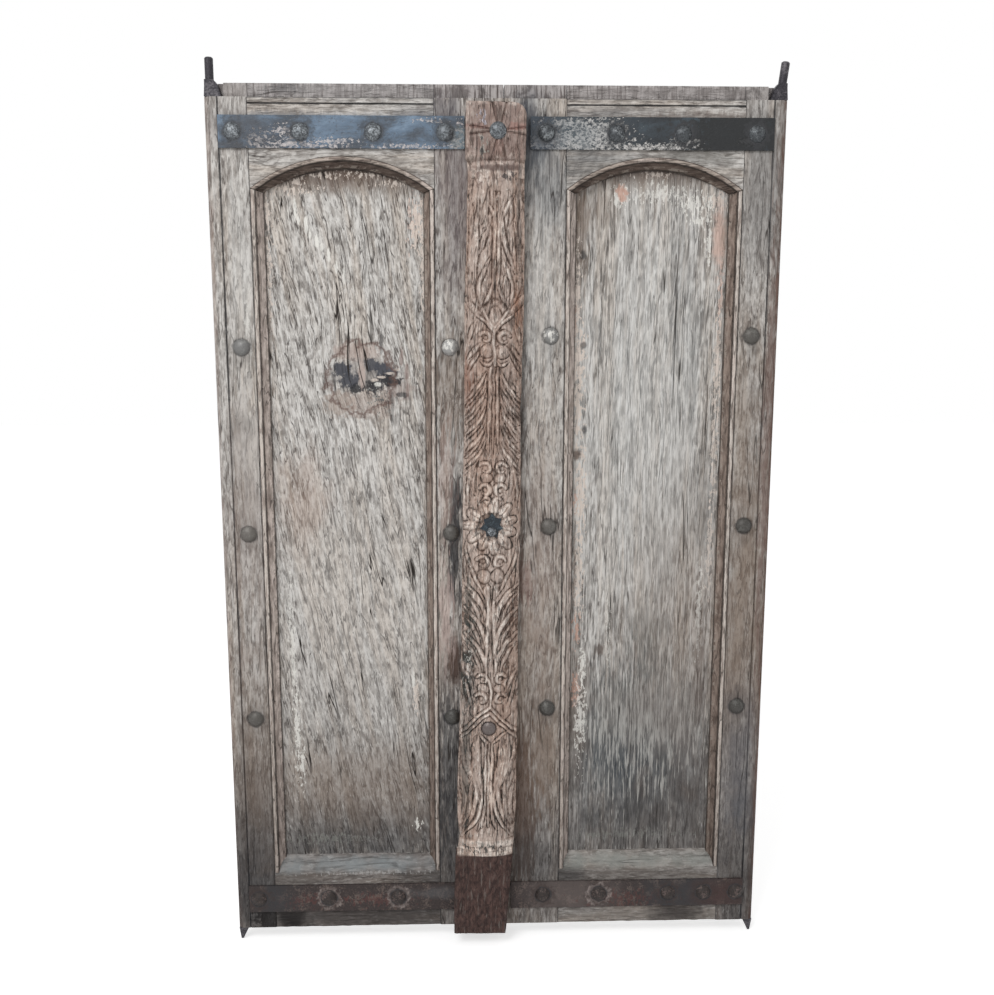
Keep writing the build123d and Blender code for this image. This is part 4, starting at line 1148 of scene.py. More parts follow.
LEFT_PANEL_SPOTS = (
    # The dark band just under the arch, at the head of the panel, is a painted shadow of the arch
    # moulding.
    (166, 1079, 250, 38, PAINTED_ARCH_SHADOW, 0.92, STAIN), (166, 1062, 250, 30, UMBER, 0.5, STAIN),
    (58, 900, 16, 420, UMBER, 0.5, STREAK),
    (277, 560, 12, 900, UMBER, 0.5, STREAK), (168, 128, 260, 110, BLACK, 0.7, STAIN),
    (180, 210, 240, 110, UMBER, 0.5, STAIN), (168, 500, 220, 420, (0.70, 0.67, 0.64), 0.22, STAIN),
    (98, 634, 60, 120, (0.42, 0.28, 0.21), 0.35, STAIN),
    (180, 838, 60, 26, (0.44, 0.34, 0.30), 0.6, KNOT),
    (155, 768, 42, 34, (0.40, 0.32, 0.27), 0.6, KNOT),
    (200, 770, 70, 44, (0.40, 0.31, 0.27), 0.4, KNOT),
    (236, 790, 40, 24, (0.36, 0.29, 0.26), 0.5, KNOT),
    (192, 806, 88, 42, (0.27, 0.25, 0.24), 0.6, KNOT),
    (160, 814, 24, 20, SLATE, 0.95, KNOT), (170, 800, 26, 24, SLATE, 0.95, KNOT),
    (179, 788, 18, 14, BLACK, 0.9, KNOT),
    (201, 820, 22, 16, SLATE, 0.9, KNOT), (218, 813, 28, 20, SLATE, 0.95, KNOT),
    (223, 799, 34, 18, BLACK, 0.95, KNOT),
    (203, 792, 26, 18, BLACK, 0.9, KNOT), (187, 810, 9, 42, (0.50, 0.41, 0.37), 0.9, DASH),
    (208, 774, 30, 34, (0.62, 0.63, 0.60), 0.8, SPECKS), (212, 772, 30, 34, BLACK, 0.8, SPECKS),
    (204, 800, 10, 4, CREAM, 0.8, KNOT), (214, 804, 12, 3.2, CREAM, 0.75, KNOT),
    (225, 809, 12, 3.2, CREAM, 0.75, KNOT),
    # The small chalk-white spot at (209, 794) in the knot is a painted highlight.
    (234, 814, 8, 3.2, CREAM, 0.7, KNOT), (209, 794, 8, 7, CHALK, 0.85, KNOT),
    (242, 780, 16, 7, BLACK, 0.7, KNOT),
    (196, 782, 30, 5, CREAM, 0.6, SPECKS), (186, 803, 96, 102, (0.15, 0.095, 0.08), 0.8, RING),
    (214, 850, 5, 30, BLACK, 0.5, DASH),
    (241, 831, 5, 22, (0.28, 0.20, 0.18), 0.7, DASH), (248, 812, 5, 30, (0.28, 0.20, 0.18), 0.7, DASH),
    (249, 786, 5, 26, (0.28, 0.20, 0.18), 0.6, DASH), (150, 800, 4, 40, BLACK, 0.5, DASH),
    (228, 765, 4, 50, BLACK, 0.4, DASH),
    (96, 1052, 60, 12, CREAM, 0.9, FLAKES), (108, 1060, 22, 20, CREAM, 0.95, FLAKES),
    (150, 1070, 50, 10, CREAM, 0.9, FLAKES), (196, 1071, 60, 9, CREAM, 0.9, FLAKES),
    (236, 1060, 50, 10, CREAM, 0.85, FLAKES), (103, 1026, 4.5, 24, CHALK, 0.95, DASH),
    (107, 1012, 4, 14, CHALK, 0.95, DASH),
    (117, 1006, 5, 20, CHALK, 0.95, DASH), (122, 994, 4, 14, CHALK, 0.9, DASH),
    (131, 984, 5, 18, CHALK, 0.95, DASH),
    (137, 976, 4, 12, CHALK, 0.9, DASH), (146, 966, 4.5, 18, CHALK, 0.9, DASH),
    (156, 952, 4, 16, CHALK, 0.85, DASH),
    (166, 940, 4, 20, CHALK, 0.8, DASH), (112, 980, 3.5, 16, CHALK, 0.7, DASH),
    (66, 1018, 12, 60, CREAM, 0.8, FLAKES), (66, 940, 10, 130, CREAM, 0.75, FLAKES),
    (266, 1008, 24, 60, BLUSH, 0.85, PAINT), (268, 1004, 20, 60, CREAM, 0.9, PAINT),
    (274, 940, 11, 110, CREAM, 0.85, PAINT),
    (279, 850, 9, 150, CREAM, 0.75, PAINT), (280, 640, 7, 160, CREAM, 0.6, FLAKES),
    (81, 420, 7, 160, CHALK, 0.7, PAINT), (84, 300, 8, 120, CHALK, 0.8, PAINT),
    (90, 245, 7, 50, CHALK, 0.8, PAINT), (255, 345, 8, 46, CREAM, 0.85, PAINT),
    (252, 372, 5, 24, CHALK, 0.9, DASH),
    (256, 150, 12, 14, CHALK, 0.9, PAINT), (279, 690, 16, 12, BROWN, 0.85, SEAM),
    (120, 130, 120, 16, OLIVE, 0.35, FLAKES),
)
RIGHT_PANEL_SPOTS = (
    # The dark band just under the arch, at the head of the panel, is a painted shadow of the arch
    # moulding.
    (590, 425, 60, 110, (0.16, 0.17, 0.165), 0.5, STREAK), (575, 1082, 260, 32, PAINTED_ARCH_SHADOW, 0.92, STAIN),
    (575, 1066, 250, 24, UMBER, 0.45, STAIN), (482, 1000, 22, 160, UMBER, 0.6, STREAK),
    (688, 640, 16, 900, UMBER, 0.5, STREAK), (500, 1030, 60, 60, UMBER, 0.4, STAIN),
    (575, 305, 230, 170, (0.085, 0.095, 0.098), 0.62, STREAK), (575, 238, 210, 120, BLUE, 0.75, STAIN),
    (620, 190, 200, 80, (0.07, 0.075, 0.08), 0.45, STAIN), (585, 135, 260, 110, BLACK, 0.55, STAIN),
    (575, 300, 190, 210, CHALK, 0.4, THREADS),
    (640, 450, 150, 420, (0.26, 0.20, 0.165), 0.4, STAIN),
    (620, 930, 30, 200, (0.22, 0.22, 0.22), 0.35, STREAK),
    (640, 800, 10, 160, BLACK, 0.4, STREAK), (665, 620, 26, 160, BLACK, 0.35, STREAK),
    (470, 320, 60, 200, UMBER, 0.5, STAIN),
    (580, 760, 160, 420, (0.78, 0.80, 0.79), 0.28, STAIN),
    (600, 330, 160, 120, (0.24, 0.225, 0.215), 0.35, STAIN),
    (538, 1046, 22, 32, CHALK, 0.8, FLAKES), (538, 1047, 14, 20, SALMON, 0.85, KNOT),
    (531, 1038, 6, 14, CHALK, 0.9, KNOT),
    (580, 1072, 40, 9, CREAM, 0.7, FLAKES), (590, 1048, 60, 26, CHALK, 0.7, FLAKES),
    (634, 1034, 34, 26, CHALK, 0.85, PAINT),
    (642, 1012, 20, 14, CHALK, 0.9, PAINT), (658, 1036, 14, 34, CHALK, 0.9, PAINT),
    (668, 1036, 20, 24, CREAM, 0.9, PAINT),
    (657, 985, 10, 50, CHALK, 0.8, PAINT), (671, 990, 17, 80, BLUSH, 0.95, SEAM),
    (678, 985, 8, 60, UMBER, 0.5, STREAK),
    (675, 905, 6, 120, BLUSH, 0.85, PAINT), (674, 820, 10, 150, CREAM, 0.75, PAINT),
    (674, 700, 10, 150, CREAM, 0.7, PAINT),
    (672, 560, 9, 120, CREAM, 0.6, PAINT), (479, 905, 10, 130, CREAM, 0.9, PAINT),
    (477, 870, 5, 60, (0.50, 0.33, 0.26), 0.8, PAINT),
    (484, 830, 16, 90, CREAM, 0.9, PAINT), (483, 770, 14, 110, CREAM, 0.9, PAINT),
    (488, 640, 14, 160, CREAM, 0.9, PAINT),
    (481, 632, 6, 30, SALMON, 0.6, PAINT), (486, 520, 14, 150, CREAM, 0.85, PAINT),
    (480, 520, 5, 130, BROWN, 0.5, PAINT),
    (485, 444, 10, 40, SALMON, 0.8, PAINT), (486, 354, 16, 50, SALMON, 0.75, PAINT),
    (494, 390, 9, 60, CHALK, 0.8, PAINT),
    (492, 310, 14, 110, CHALK, 0.7, PAINT), (530, 440, 7, 90, CHALK, 0.4, PAINT),
    (660, 470, 8, 110, CHALK, 0.5, PAINT), (692, 116, 8, 15, SALMON, 0.7, KNOT),
    (519, 414, 10, 14, BROWN, 0.6, STREAK),
    (663, 400, 14, 160, BROWN, 0.35, STREAK), (560, 130, 150, 14, OLIVE, 0.3, FLAKES),
    (487, 967, 9, 12, BLACK, 0.75, SEAM), (490, 847, 8, 9, BLACK, 0.7, SEAM),
    (493, 731, 8, 10, BLACK, 0.7, SEAM),
    (481, 697, 16, 14, BROWN, 0.8, SEAM),
)
LEFT_OUTER_SPOTS = (
    (-8, 600, 10, WHOLE, BEAD_PAINT, 0.3, STREAK), (10, 600, 2.6, WHOLE, BLACK, 0.75, SEAM),
    (48, 600, 2.0, WHOLE, BLACK, 0.8, SEAM),
    (32, 700, 40, 170, (0.70, 0.68, 0.66), 0.45, STREAK),
    (-9, 700, 7, 700, (0.66, 0.62, 0.60), 0.4, STREAK),
    (27, 742, 26, 20, (0.26, 0.25, 0.235), 0.6, STAIN),
    (24, 1128, 60, 40, (0.17, 0.15, 0.145), 0.6, STAIN),
    (20, 90, 90, 290, BLACK, 0.76, STAIN), (30, 260, 60, 240, UMBER, 0.45, STAIN),
    (20, 1174, 70, 18, (0.42, 0.39, 0.37), 0.6, STREAK),
    (14, 560, 7, 300, UMBER, 0.4, STREAK), (38, 870, 10, 60, CHALK, 0.4, FLAKES),
    (34, 920, 30, 300, (0.74, 0.73, 0.70), 0.3, STREAK),
    (30, 560, 60, 260, (0.30, 0.235, 0.21), 0.3, STAIN),
    (42, 22, 56, 56, (0.012, 0.010, 0.010), 0.9, KNOT),
    (26, 690, 40, 200, UMBER, 0.25, STREAK),
)
LEFT_INNER_SPOTS = (
    (288, 600, 2.0, WHOLE, BLACK, 0.8, SEAM), (312, 575, 17, 130, BLACK, 0.88, STREAK),
    (313, 640, 15, 80, BLACK, 0.7, STREAK),
    (309, 510, 22, 50, BLACK, 0.5, STREAK), (311, 405, 20, 66, (0.075, 0.045, 0.036), 0.92, SEAM),
    (300, 400, 34, 130, BROWN, 0.45, STREAK),
    (305, 240, 44, 230, BLACK, 0.72, STREAK), (300, 110, 80, 160, BLACK, 0.6, STAIN),
    (330, 765, 14, 110, BLACK, 0.7, STREAK),
    (314, 774, 22, 26, BLACK, 0.6, FLAKES), (323, 1040, 60, 220, (0.15, 0.12, 0.125), 0.6, STAIN),
    (300, 1150, 44, 30, (0.08, 0.08, 0.10), 0.6, STAIN),
    (332, 500, 14, 240, BROWN, 0.25, STREAK), (310, 790, 50, 120, UMBER, 0.5, STREAK),
    (300, 660, 22, 130, (0.42, 0.30, 0.26), 0.4, STREAK),
    (299, 465, 20, 120, (0.56, 0.44, 0.40), 0.6, STREAK), (338, 1077, 7, 18, CHALK, 0.95, KNOT),
    (335, 1060, 5, 12, CHALK, 0.95, KNOT),
)
RIGHT_INNER_SPOTS = (
    (462, 600, 2.0, WHOLE, BLACK, 0.8, SEAM), (415, 1120, 44, 110, (0.03, 0.04, 0.06), 0.8, STAIN),
    (432, 1050, 60, 110, (0.14, 0.15, 0.16), 0.6, STAIN),
    # The narrow dark streaks at x 402 and 404, along the right edge of the carved strip, are painted
    # shadow of the strip.
    (404, 840, 10, 300, BLACK, 0.5, STREAK), (425, 330, 70, 300, UMBER, 0.5, STAIN),
    (407, 180, 40, 230, BROWN, 0.8, STREAK),
    (425, 100, 90, 110, BLACK, 0.55, STAIN), (410, 520, 22, 60, (0.22, 0.13, 0.11), 0.6, STREAK),
    (402, 600, 10, 300, BROWN, 0.6, STREAK),
    (440, 260, 34, 120, UMBER, 0.5, STREAK), (413, 774, 22, 26, BROWN, 0.4, STREAK),
    (435, 560, 40, 300, (0.28, 0.20, 0.165), 0.35, STAIN),
    (430, 900, 40, 300, (0.80, 0.80, 0.78), 0.25, STREAK),
)
RIGHT_OUTER_SPOTS = (
    (752, 600, 10, WHOLE, BEAD_PAINT, 0.85, STREAK), (734, 600, 2.6, WHOLE, BLACK, 0.75, SEAM),
    (696, 600, 2.0, WHOLE, BLACK, 0.8, SEAM),
    (716, 480, 60, 560, UMBER, 0.7, STAIN), (720, 1060, 60, 190, (0.17, 0.16, 0.155), 0.6, STAIN),
    (746, 600, 12, WHOLE, BROWN, 0.45, STREAK), (722, 70, 90, 220, BLACK, 0.6, STAIN),
    (718, 250, 46, 190, (0.12, 0.13, 0.15), 0.6, STAIN),
    (735, 1174, 60, 18, (0.42, 0.39, 0.37), 0.6, STREAK),
    (742, 700, 12, 500, (0.22, 0.15, 0.13), 0.5, STREAK),
)
HEAD_SPOTS = (
    (95, 1176, 40, 13, BLACK, 0.85, STREAK), (166, 1174, 700, 18, (0.36, 0.34, 0.335), 0.5, STREAK),
    (166, 1142, 500, 8, (0.52, 0.52, 0.53), 0.4, STREAK),
    (270, 1140, 60, 26, (0.10, 0.10, 0.115), 0.6, STAIN),
    (110, 1142, 120, 14, (0.12, 0.11, 0.11), 0.4, STREAK),
    # The black line at 1165, under the step back of the tongue, is a painted shadow; the one at 1157 is
    # the scribed line.
    (168, 1157, WHOLE, 2.4, BLACK, 0.85, SEAM), (168, 1165, WHOLE, 2.4, BLACK, 0.7, SEAM),
    (168, 1120, 400, 30, (0.20, 0.19, 0.185), 0.4, STAIN),
)
RIGHT_HEAD_SPOTS = (
    (575, 1174, 700, 18, (0.34, 0.31, 0.30), 0.5, STREAK),
    (490, 1090, 90, 40, (0.12, 0.125, 0.13), 0.6, STAIN),
    (500, 1142, 160, 26, (0.11, 0.11, 0.12), 0.5, STAIN),
    (640, 1096, 90, 26, (0.13, 0.13, 0.12), 0.5, STAIN),
    (640, 1142, 160, 14, (0.17, 0.13, 0.115), 0.5, STREAK),
    # The black line at 1165, under the step back of the tongue, is a painted shadow; the one at 1157 is
    # the scribed line.
    (575, 1157, WHOLE, 2.4, BLACK, 0.85, SEAM), (575, 1165, WHOLE, 2.4, BLACK, 0.7, SEAM),
    (575, 1120, 400, 30, (0.20, 0.19, 0.185), 0.4, STAIN),
)
FOOT_SPOTS = (
    (150, 20, 560, 50, (0.055, 0.048, 0.046), 0.8, STAIN), (280, 76, 100, 30, BLACK, 0.6, STAIN),
    (70, 78, 80, 20, (0.10, 0.085, 0.075), 0.5, STAIN),
    # The pale grey band at z 97, on the sloped sill, is a painted highlight where the sill faces up to the
    # light.
    (166, 97, 330, 18, (0.26, 0.285, 0.295), 0.8, STAIN),
    (60, 14, 70, 40, (0.012, 0.010, 0.010), 0.9, STAIN),
    (190, 84, 160, 5, (0.42, 0.41, 0.40), 0.6, FLAKES),
)
RIGHT_FOOT_SPOTS = (
    (580, 74, 300, 24, (0.09, 0.075, 0.065), 0.5, STAIN), (470, 76, 60, 30, BLACK, 0.6, STAIN),
    # The pale grey band at z 97, on the sloped sill, is a painted highlight where the sill faces up to the
    # light.
    (575, 97, 330, 18, (0.27, 0.28, 0.262), 0.8, STAIN),
    (600, 12, 300, 14, (0.24, 0.22, 0.20), 0.5, STREAK),
    (640, 14, 70, 30, (0.03, 0.025, 0.025), 0.8, STAIN),
)


def stud_places(name, along):
    """The middle of each stud in a packed row, in millimetres."""
    mesh = nodes[name].data
    flat = np.empty(len(mesh.vertices) * 3)
    mesh.vertices.foreach_get("co", flat)
    places = flat.reshape(-1, 3) / MM
    places = places[np.argsort(places[:, along])]
    breaks = np.flatnonzero(np.diff(places[:, along]) > 8) + 1
    return [tuple((part.min(0) + part.max(0)) / 2) for part in np.split(places, breaks)]


def round_studs(name, along=Z):
    """A dark stain where rust and damp have spread from each stud, and a painted shadow: a dark ring close
    round it.
    """
    return tuple(spot for x, _, z in stud_places(name, along) for spot in (
        (x, z - 3, 36, 42, STUD_STAIN, 0.25, ((70.0, 5.0, 60.0), 2.5, 0.7, 0.0)),
        # Painted shadow: a dark ring close round the stud.
        (x, z, 24.5, 24.5, BLACK, 0.6, DISC)))


TIMBER = (
    ("left_panel", PANEL_TONES, LEFT_PANEL_SPOTS, 1.0, 0.7),
    ("right_panel", PANEL_TONES, RIGHT_PANEL_SPOTS, 0.9, 0.85),
    ("left_outer_stile", STILE_TONES, LEFT_OUTER_SPOTS, 0.7, 0.8),
    ("left_inner_stile", STILE_TONES, LEFT_INNER_SPOTS, 0.9, 0.7),
    ("right_outer_stile", STILE_TONES, RIGHT_OUTER_SPOTS, 0.7, 0.8),
    ("right_inner_stile", STILE_TONES, RIGHT_INNER_SPOTS, 0.8, 0.7),
    ("left_top_rail", STILE_TONES, HEAD_SPOTS, 0.5, 0.0),
    ("right_top_rail", STILE_TONES, RIGHT_HEAD_SPOTS, 0.5, 0.0),
    ("left_bottom_rail", STILE_TONES, FOOT_SPOTS, 0.35, 0.9),
    ("right_bottom_rail", STILE_TONES, RIGHT_FOOT_SPOTS, 0.35, 0.6),
)
finishes = {}
for seed, (node, tones, spots, dark_lines, foot) in enumerate(TIMBER):
    spots += round_studs(node + "_studs") if node.endswith("stile") else ()
    depth = PANEL_FACE if node.endswith("panel") else FACE
    stretch = BROAD_GRAIN if node == "right_panel" else FINE_GRAIN
    finishes[node] = teak("weathered_teak_" + node, 1.7 * seed, tones, spots, dark_lines, foot,
                          depth, stretch)

# %% [markdown]
# The strip is browner and redder. Its colour follows the carving's height: the ribs are light pinkish
# brown, partly rubbed wear and partly painted highlight, and the hollows are darker, partly dirt and
# partly painted shade. Some hollows still hold dark green and black paint. The foot is plain dark
# red-brown.

# %% Carved teak
STRIP_FACE, STRIP_REACH = -30.0, 30.0
CARVED_SPOTS = (
    (371, 1121, 116, 96, (0.235, 0.165, 0.145), 0.8, SEAM),
    (350, 1138, 10, 22, (0.50, 0.47, 0.52), 0.85, FLAKES),
    (345, 1126, 40, 6, (0.33, 0.18, 0.155), 0.4, KNOT),
    (372, 1098, 12, 24, (0.38, 0.24, 0.20), 0.45, KNOT), (372, 1094, 70, 22, BROWN, 0.45, FLAKES),
    (350, 1100, 12, 30, (0.42, 0.40, 0.36), 0.7, FLAKES), (350, 1098, 4, 22, BLACK, 0.8, FLAKES),
    (395, 1126, 34, 9, (0.38, 0.20, 0.17), 0.5, KNOT),
    (362, 800, 60, 190, (0.26, 0.15, 0.11), 0.25, STAIN),
    (330, 480, 16, 130, (0.05, 0.06, 0.055), 0.6, PAINT),
    (330, 400, 12, 90, CHALK, 0.5, SPECKS), (334, 350, 14, 120, (0.05, 0.055, 0.055), 0.6, PAINT),
    (396, 896, 12, 40, (0.28, 0.13, 0.075), 0.6, STREAK),
    (332, 800, 12, 60, (0.24, 0.10, 0.06), 0.55, STREAK),
    (361, 604, 40, 54, (0.04, 0.05, 0.055), 0.6, FLAKES),
    (372, 1075, 70, 8, (0.06, 0.03, 0.025), 0.7, SEAM),
    (384, 1066, 18, 9, BLACK, 0.75, FLAKES), (345, 1062, 30, 20, (0.10, 0.055, 0.045), 0.5, FLAKES),
    (326, 250, 12, 200, (0.07, 0.075, 0.07), 0.6, STREAK),
    (345, 134, 60, 12, (0.045, 0.05, 0.047), 0.85, FLAKES),
    (380, 134, 40, 8, (0.07, 0.06, 0.055), 0.6, FLAKES),
    (355, 142, 80, 4, (0.42, 0.38, 0.34), 0.6, FLAKES),
    (398, 1010, 6, 160, (0.13, 0.11, 0.10), 0.6, STREAK),
)


def carved_teak():
    material, tree, shader = new_material("carved_teak_strip")
    where = read(tree, "object")
    high = read(tree, "attribute", "relief")
    grain = placed(tree, grain_tree, Place=read(tree, "uv", "grain"), Seed=12.0)
    grime = placed(tree, grime_tree, Place=where, Seed=12.0)
    worn = figure(tree, "MULTIPLY", figure(tree, "SUBTRACT", grain["Mottle"], 0.5), 0.5)
    tone = figure(tree, "ADD", high, worn)
    tone = figure(tree, "ADD", tone,
                  figure(tree, "MULTIPLY", figure(tree, "SUBTRACT", grain["Lines"], 0.5), 0.3))
    # Painted shade and highlight: by the stored relief the hollows go dark brown and the ribs light, over
    # the real rubbed wear.
    colour = lay(tree, (0.16, 0.112, 0.09), (0.49, 0.392, 0.34), fade(tree, tone, -0.05, 0.42))
    colour = lay(tree, colour, (0.84, 0.745, 0.67), fade(tree, tone, 0.50, 0.95))
    colour = tinted(tree, colour, (0.82, 0.68, 0.60), fade(tree, grain["Bands"], 0.42, 0.62, 0.0, 0.6))
    pitted = figure(tree, "MULTIPLY", fade(tree, high, 0.34, 0.06),
                    fade(tree, grime["Cloud"], 0.48, 0.76))
    colour = lay(tree, colour, (0.03, 0.036, 0.032), figure(tree, "MULTIPLY", pitted, 0.85))
    colour = lay(tree, colour, (0.74, 0.70, 0.64), figure(tree, "MULTIPLY", grain["Glints"], 0.4))
    apart = tree.nodes.new("ShaderNodeSeparateXYZ")
    join(tree, where, apart.inputs[0])
    colour = patches(tree, colour, where, STRIP_FACE, CARVED_SPOTS, STRIP_REACH)
    lines = figure(tree, "ADD", figure(tree, "MULTIPLY", grain["Pores"], 0.5), grain["Cracks"])
    colour = lay(tree, colour, (0.06, 0.04, 0.033), figure(tree, "MULTIPLY", lines, 0.55))
    plain = fade(tree, apart.outputs["Z"], 0.1235, 0.1215)
    stain = lay(tree, (0.032, 0.018, 0.016), (0.095, 0.052, 0.043), grain["Mottle"])
    stain = lay(tree, stain, (0.20, 0.17, 0.15), fade(tree, grain["Lines"], 0.8, 1.0, 0.0, 0.5))
    colour = lay(tree, colour, stain, plain)
    colour = lay(tree, colour, (0.02, 0.014, 0.012), figure(tree, "MULTIPLY", grain["Splits"], 0.8))
    join(tree, colour, shader.inputs["Base Color"])
    join(tree, fade(tree, tone, 0.1, 1.0, 0.9, 0.62), shader.inputs["Roughness"])
    shader.inputs["Specular IOR Level"].default_value = 0.35
    bump(tree, shader, figure(tree, "SUBTRACT", tone, lines), 0.0016, 1.0)
    return material


finishes["meeting_strip"] = carved_teak()

# %% [markdown]
# The planted mouldings are pale on the bead and worn brown in the hollow, with dark lines painted
# along the edges between. On the left-hand side moulding of each opening the hollow is painted
# paler: painted light, a lit copy of the brown hollow. These are imported pieces, so their finish is
# laid by place: the distance in from the edge of the opening sets the colour, and the grain runs
# along Z on uprights and X on level pieces.

# %% Mouldings and ledges
def laid_grain(tree, where, level, seed):
    """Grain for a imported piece, along X on level pieces and along Z on uprights."""
    apart = tree.nodes.new("ShaderNodeSeparateXYZ")
    join(tree, where, apart.inputs[0])
    flat = tree.nodes.new("ShaderNodeCombineXYZ")
    join(tree, apart.outputs["Z" if level else "X"], flat.inputs["X"])
    join(tree, apart.outputs["X" if level else "Z"], flat.inputs["Y"])
    join(tree, apart.outputs["Y"], flat.inputs["Z"])
    return placed(tree, grain_tree, Place=flat.outputs[0], Seed=seed), apart.outputs


def inset_distance(tree, side, arched, place):
    """How far in a point lies from the edge of the opening, in metres."""
    low_x, high_x = span(side + "_arch_moulding", X)
    middle, half = (low_x + high_x) / 2 * MM, (high_x - low_x) / 2 * MM
    from_middle = figure(tree, "SUBTRACT", place["X"], middle)
    if not arched:
        return figure(tree, "SUBTRACT", half, figure(tree, "ABSOLUTE", from_middle))
    rise = (ARCH_CROWN - ARCH_SPRING) * MM
    radius = (half ** 2 + rise ** 2) / (2 * rise)
    up = figure(tree, "SUBTRACT", place["Z"], ARCH_CROWN * MM - radius)
    square = figure(tree, "ADD", figure(tree, "MULTIPLY", from_middle, from_middle),
                    figure(tree, "MULTIPLY", up, up))
    return figure(tree, "SUBTRACT", radius, figure(tree, "SQRT", square))


BEAD_EDGE, COVE_EDGE = 6.2, 15.0
DARK_BEAD = ((0.22, 0.175, 0.15), (0.46, 0.39, 0.34))
PALE_BEAD = ((0.36, 0.30, 0.265), (0.64, 0.575, 0.52))
DARK_COVE = ((0.06, 0.042, 0.035), (0.19, 0.145, 0.12))
BROWN_COVE = ((0.13, 0.095, 0.078), (0.34, 0.27, 0.23))
# The paler hollow below is painted light: a lit copy of the brown hollow, for the left-hand side
# mouldings.
PAINTED_LIT_COVE = ((0.34, 0.28, 0.25), (0.80, 0.70, 0.64))


def moulding_teak(name, side, arched, seed, cove_tones):
    """Pale bead, brown cove and the dark lines either side of each."""
    material, tree, shader = new_material(name)
    where = read(tree, "object")
    grain, place = laid_grain(tree, where, arched, seed)
    grime = placed(tree, grime_tree, Place=where, Seed=seed)
    inset = figure(tree, "MULTIPLY", inset_distance(tree, side, arched, place), 1 / MM)
    inset = figure(tree, "ADD", inset,
                   figure(tree, "MULTIPLY", figure(tree, "SUBTRACT", grain["Mottle"], 0.5), 0.5))
    bead = lay(tree, *(DARK_BEAD if arched else PALE_BEAD), fade(tree, grain["Lines"], 0.1, 0.7))
    bead = lay(tree, bead, (0.72, 0.62, 0.56), fade(tree, grime["Cloud"], 0.6, 0.95, 0.0, 0.6))
    cove = lay(tree, *cove_tones, grain["Lines"])
    colour = lay(tree, bead, cove, fade(tree, inset, BEAD_EDGE - 1.2, BEAD_EDGE + 0.2))
    colour = lay(tree, colour, (0.36, 0.31, 0.27), figure(tree, "MULTIPLY", fade(
        tree, inset, COVE_EDGE - 5.0, COVE_EDGE - 3.0),
        fade(tree, grain["Mottle"], 0.5, 0.8, 0.0, 0.7)))
    for line, width in ((0.0, 1.6), (BEAD_EDGE, 1.2), (COVE_EDGE, 1.6)):
        apart = figure(tree, "ABSOLUTE", figure(tree, "SUBTRACT", inset, line))
        colour = lay(tree, colour, (0.04, 0.032, 0.028),
                     fade(tree, apart, width, 0.4 * width, 0.0, 0.8))
    colour = tinted(tree, colour, (0.38, 0.35, 0.34), figure(tree, "MULTIPLY", grime["Foot"], 0.6))
    colour = lay(tree, colour, (0.03, 0.024, 0.02), figure(tree, "MULTIPLY", grain["Cracks"], 0.6))
    join(tree, colour, shader.inputs["Base Color"])
    shader.inputs["Roughness"].default_value = 0.82
    shader.inputs["Specular IOR Level"].default_value = 0.3
    bump(tree, shader, figure(tree, "SUBTRACT", grain["Mottle"], grain["Cracks"]), 0.0012, 0.7)
    return material


def sawn_teak(name, seed):
    """The rough, dry timber of the ledges on the back."""
    material, tree, shader = new_material(name)
    where = read(tree, "object")
    grain, place = laid_grain(tree, where, True, seed)
    grime = placed(tree, grime_tree, Place=where, Seed=seed)
    tone = figure(tree, "ADD", figure(tree, "MULTIPLY", grain["Lines"], 0.6),
                  figure(tree, "MULTIPLY", grain["Mottle"], 0.4))
    saw = cloud(tree, where, (420, 60, 12), 2, 0.5)
    colour = lay(tree, (0.14, 0.10, 0.08), (0.36, 0.30, 0.25), fade(tree, tone, 0.2, 0.9))
    colour = tinted(tree, colour, (0.62, 0.56, 0.52), figure(tree, "MULTIPLY", grime["Cloud"], 0.6))
    colour = lay(tree, colour, (0.03, 0.022, 0.018), figure(tree, "MULTIPLY", grain["Cracks"], 0.8))
    join(tree, colour, shader.inputs["Base Color"])
    shader.inputs["Roughness"].default_value = 0.92
    shader.inputs["Specular IOR Level"].default_value = 0.2
    bump(tree, shader, figure(tree, "ADD", tone, saw), 0.0012, 0.7)
    return material


ledge_teak = sawn_teak("sawn_teak_ledge", 23.0)
for seed, side in enumerate(("left", "right"), start=31):
    finishes[side + "_arch_moulding"] = moulding_teak(side + "_arch_teak", side, True, seed, DARK_COVE)
    # The hollow of the left-hand side moulding of each opening takes the paler, painted-light tones.
    rubbed, plain = ("outer", "inner") if side == "left" else ("inner", "outer")
    for place, tones in ((rubbed, PAINTED_LIT_COVE), (plain, BROWN_COVE)):
        name = side + "_" + place + "_side_moulding"
        finishes[name] = moulding_teak(name + "_teak", side, False, seed + 5, tones)

# %% [markdown]
# The iron is hand forged. The head straps were once painted blue-black, and the paint has been scraped
# to a pale ground along their lower edges. The foot straps have rusted dark brown. The studs have
# hammered, dark domes, rubbed lighter on the crown, and some still carry paint.

# %% Iron
IRON_FACE = -11.0
LEFT_SCRAPES = (
    (105, 1106, 90, 13), (60, 1110, 26, 26), (94, 1122, 30, 18), (130, 1104, 90, 7),
    (160, 1110, 60, 8), (285, 1136, 36, 5),
    (255, 1104, 90, 6), (318, 1108, 26, 22), (322, 1126, 10, 22),
)
RIGHT_SCRAPES = (
    (424, 1110, 20, 14), (450, 1112, 50, 32), (468, 1134, 60, 8), (480, 1109, 90, 20),
    (500, 1120, 54, 32), (560, 1104, 90, 8),
    (600, 1104, 60, 7), (620, 1112, 30, 8), (700, 1112, 20, 8),
)


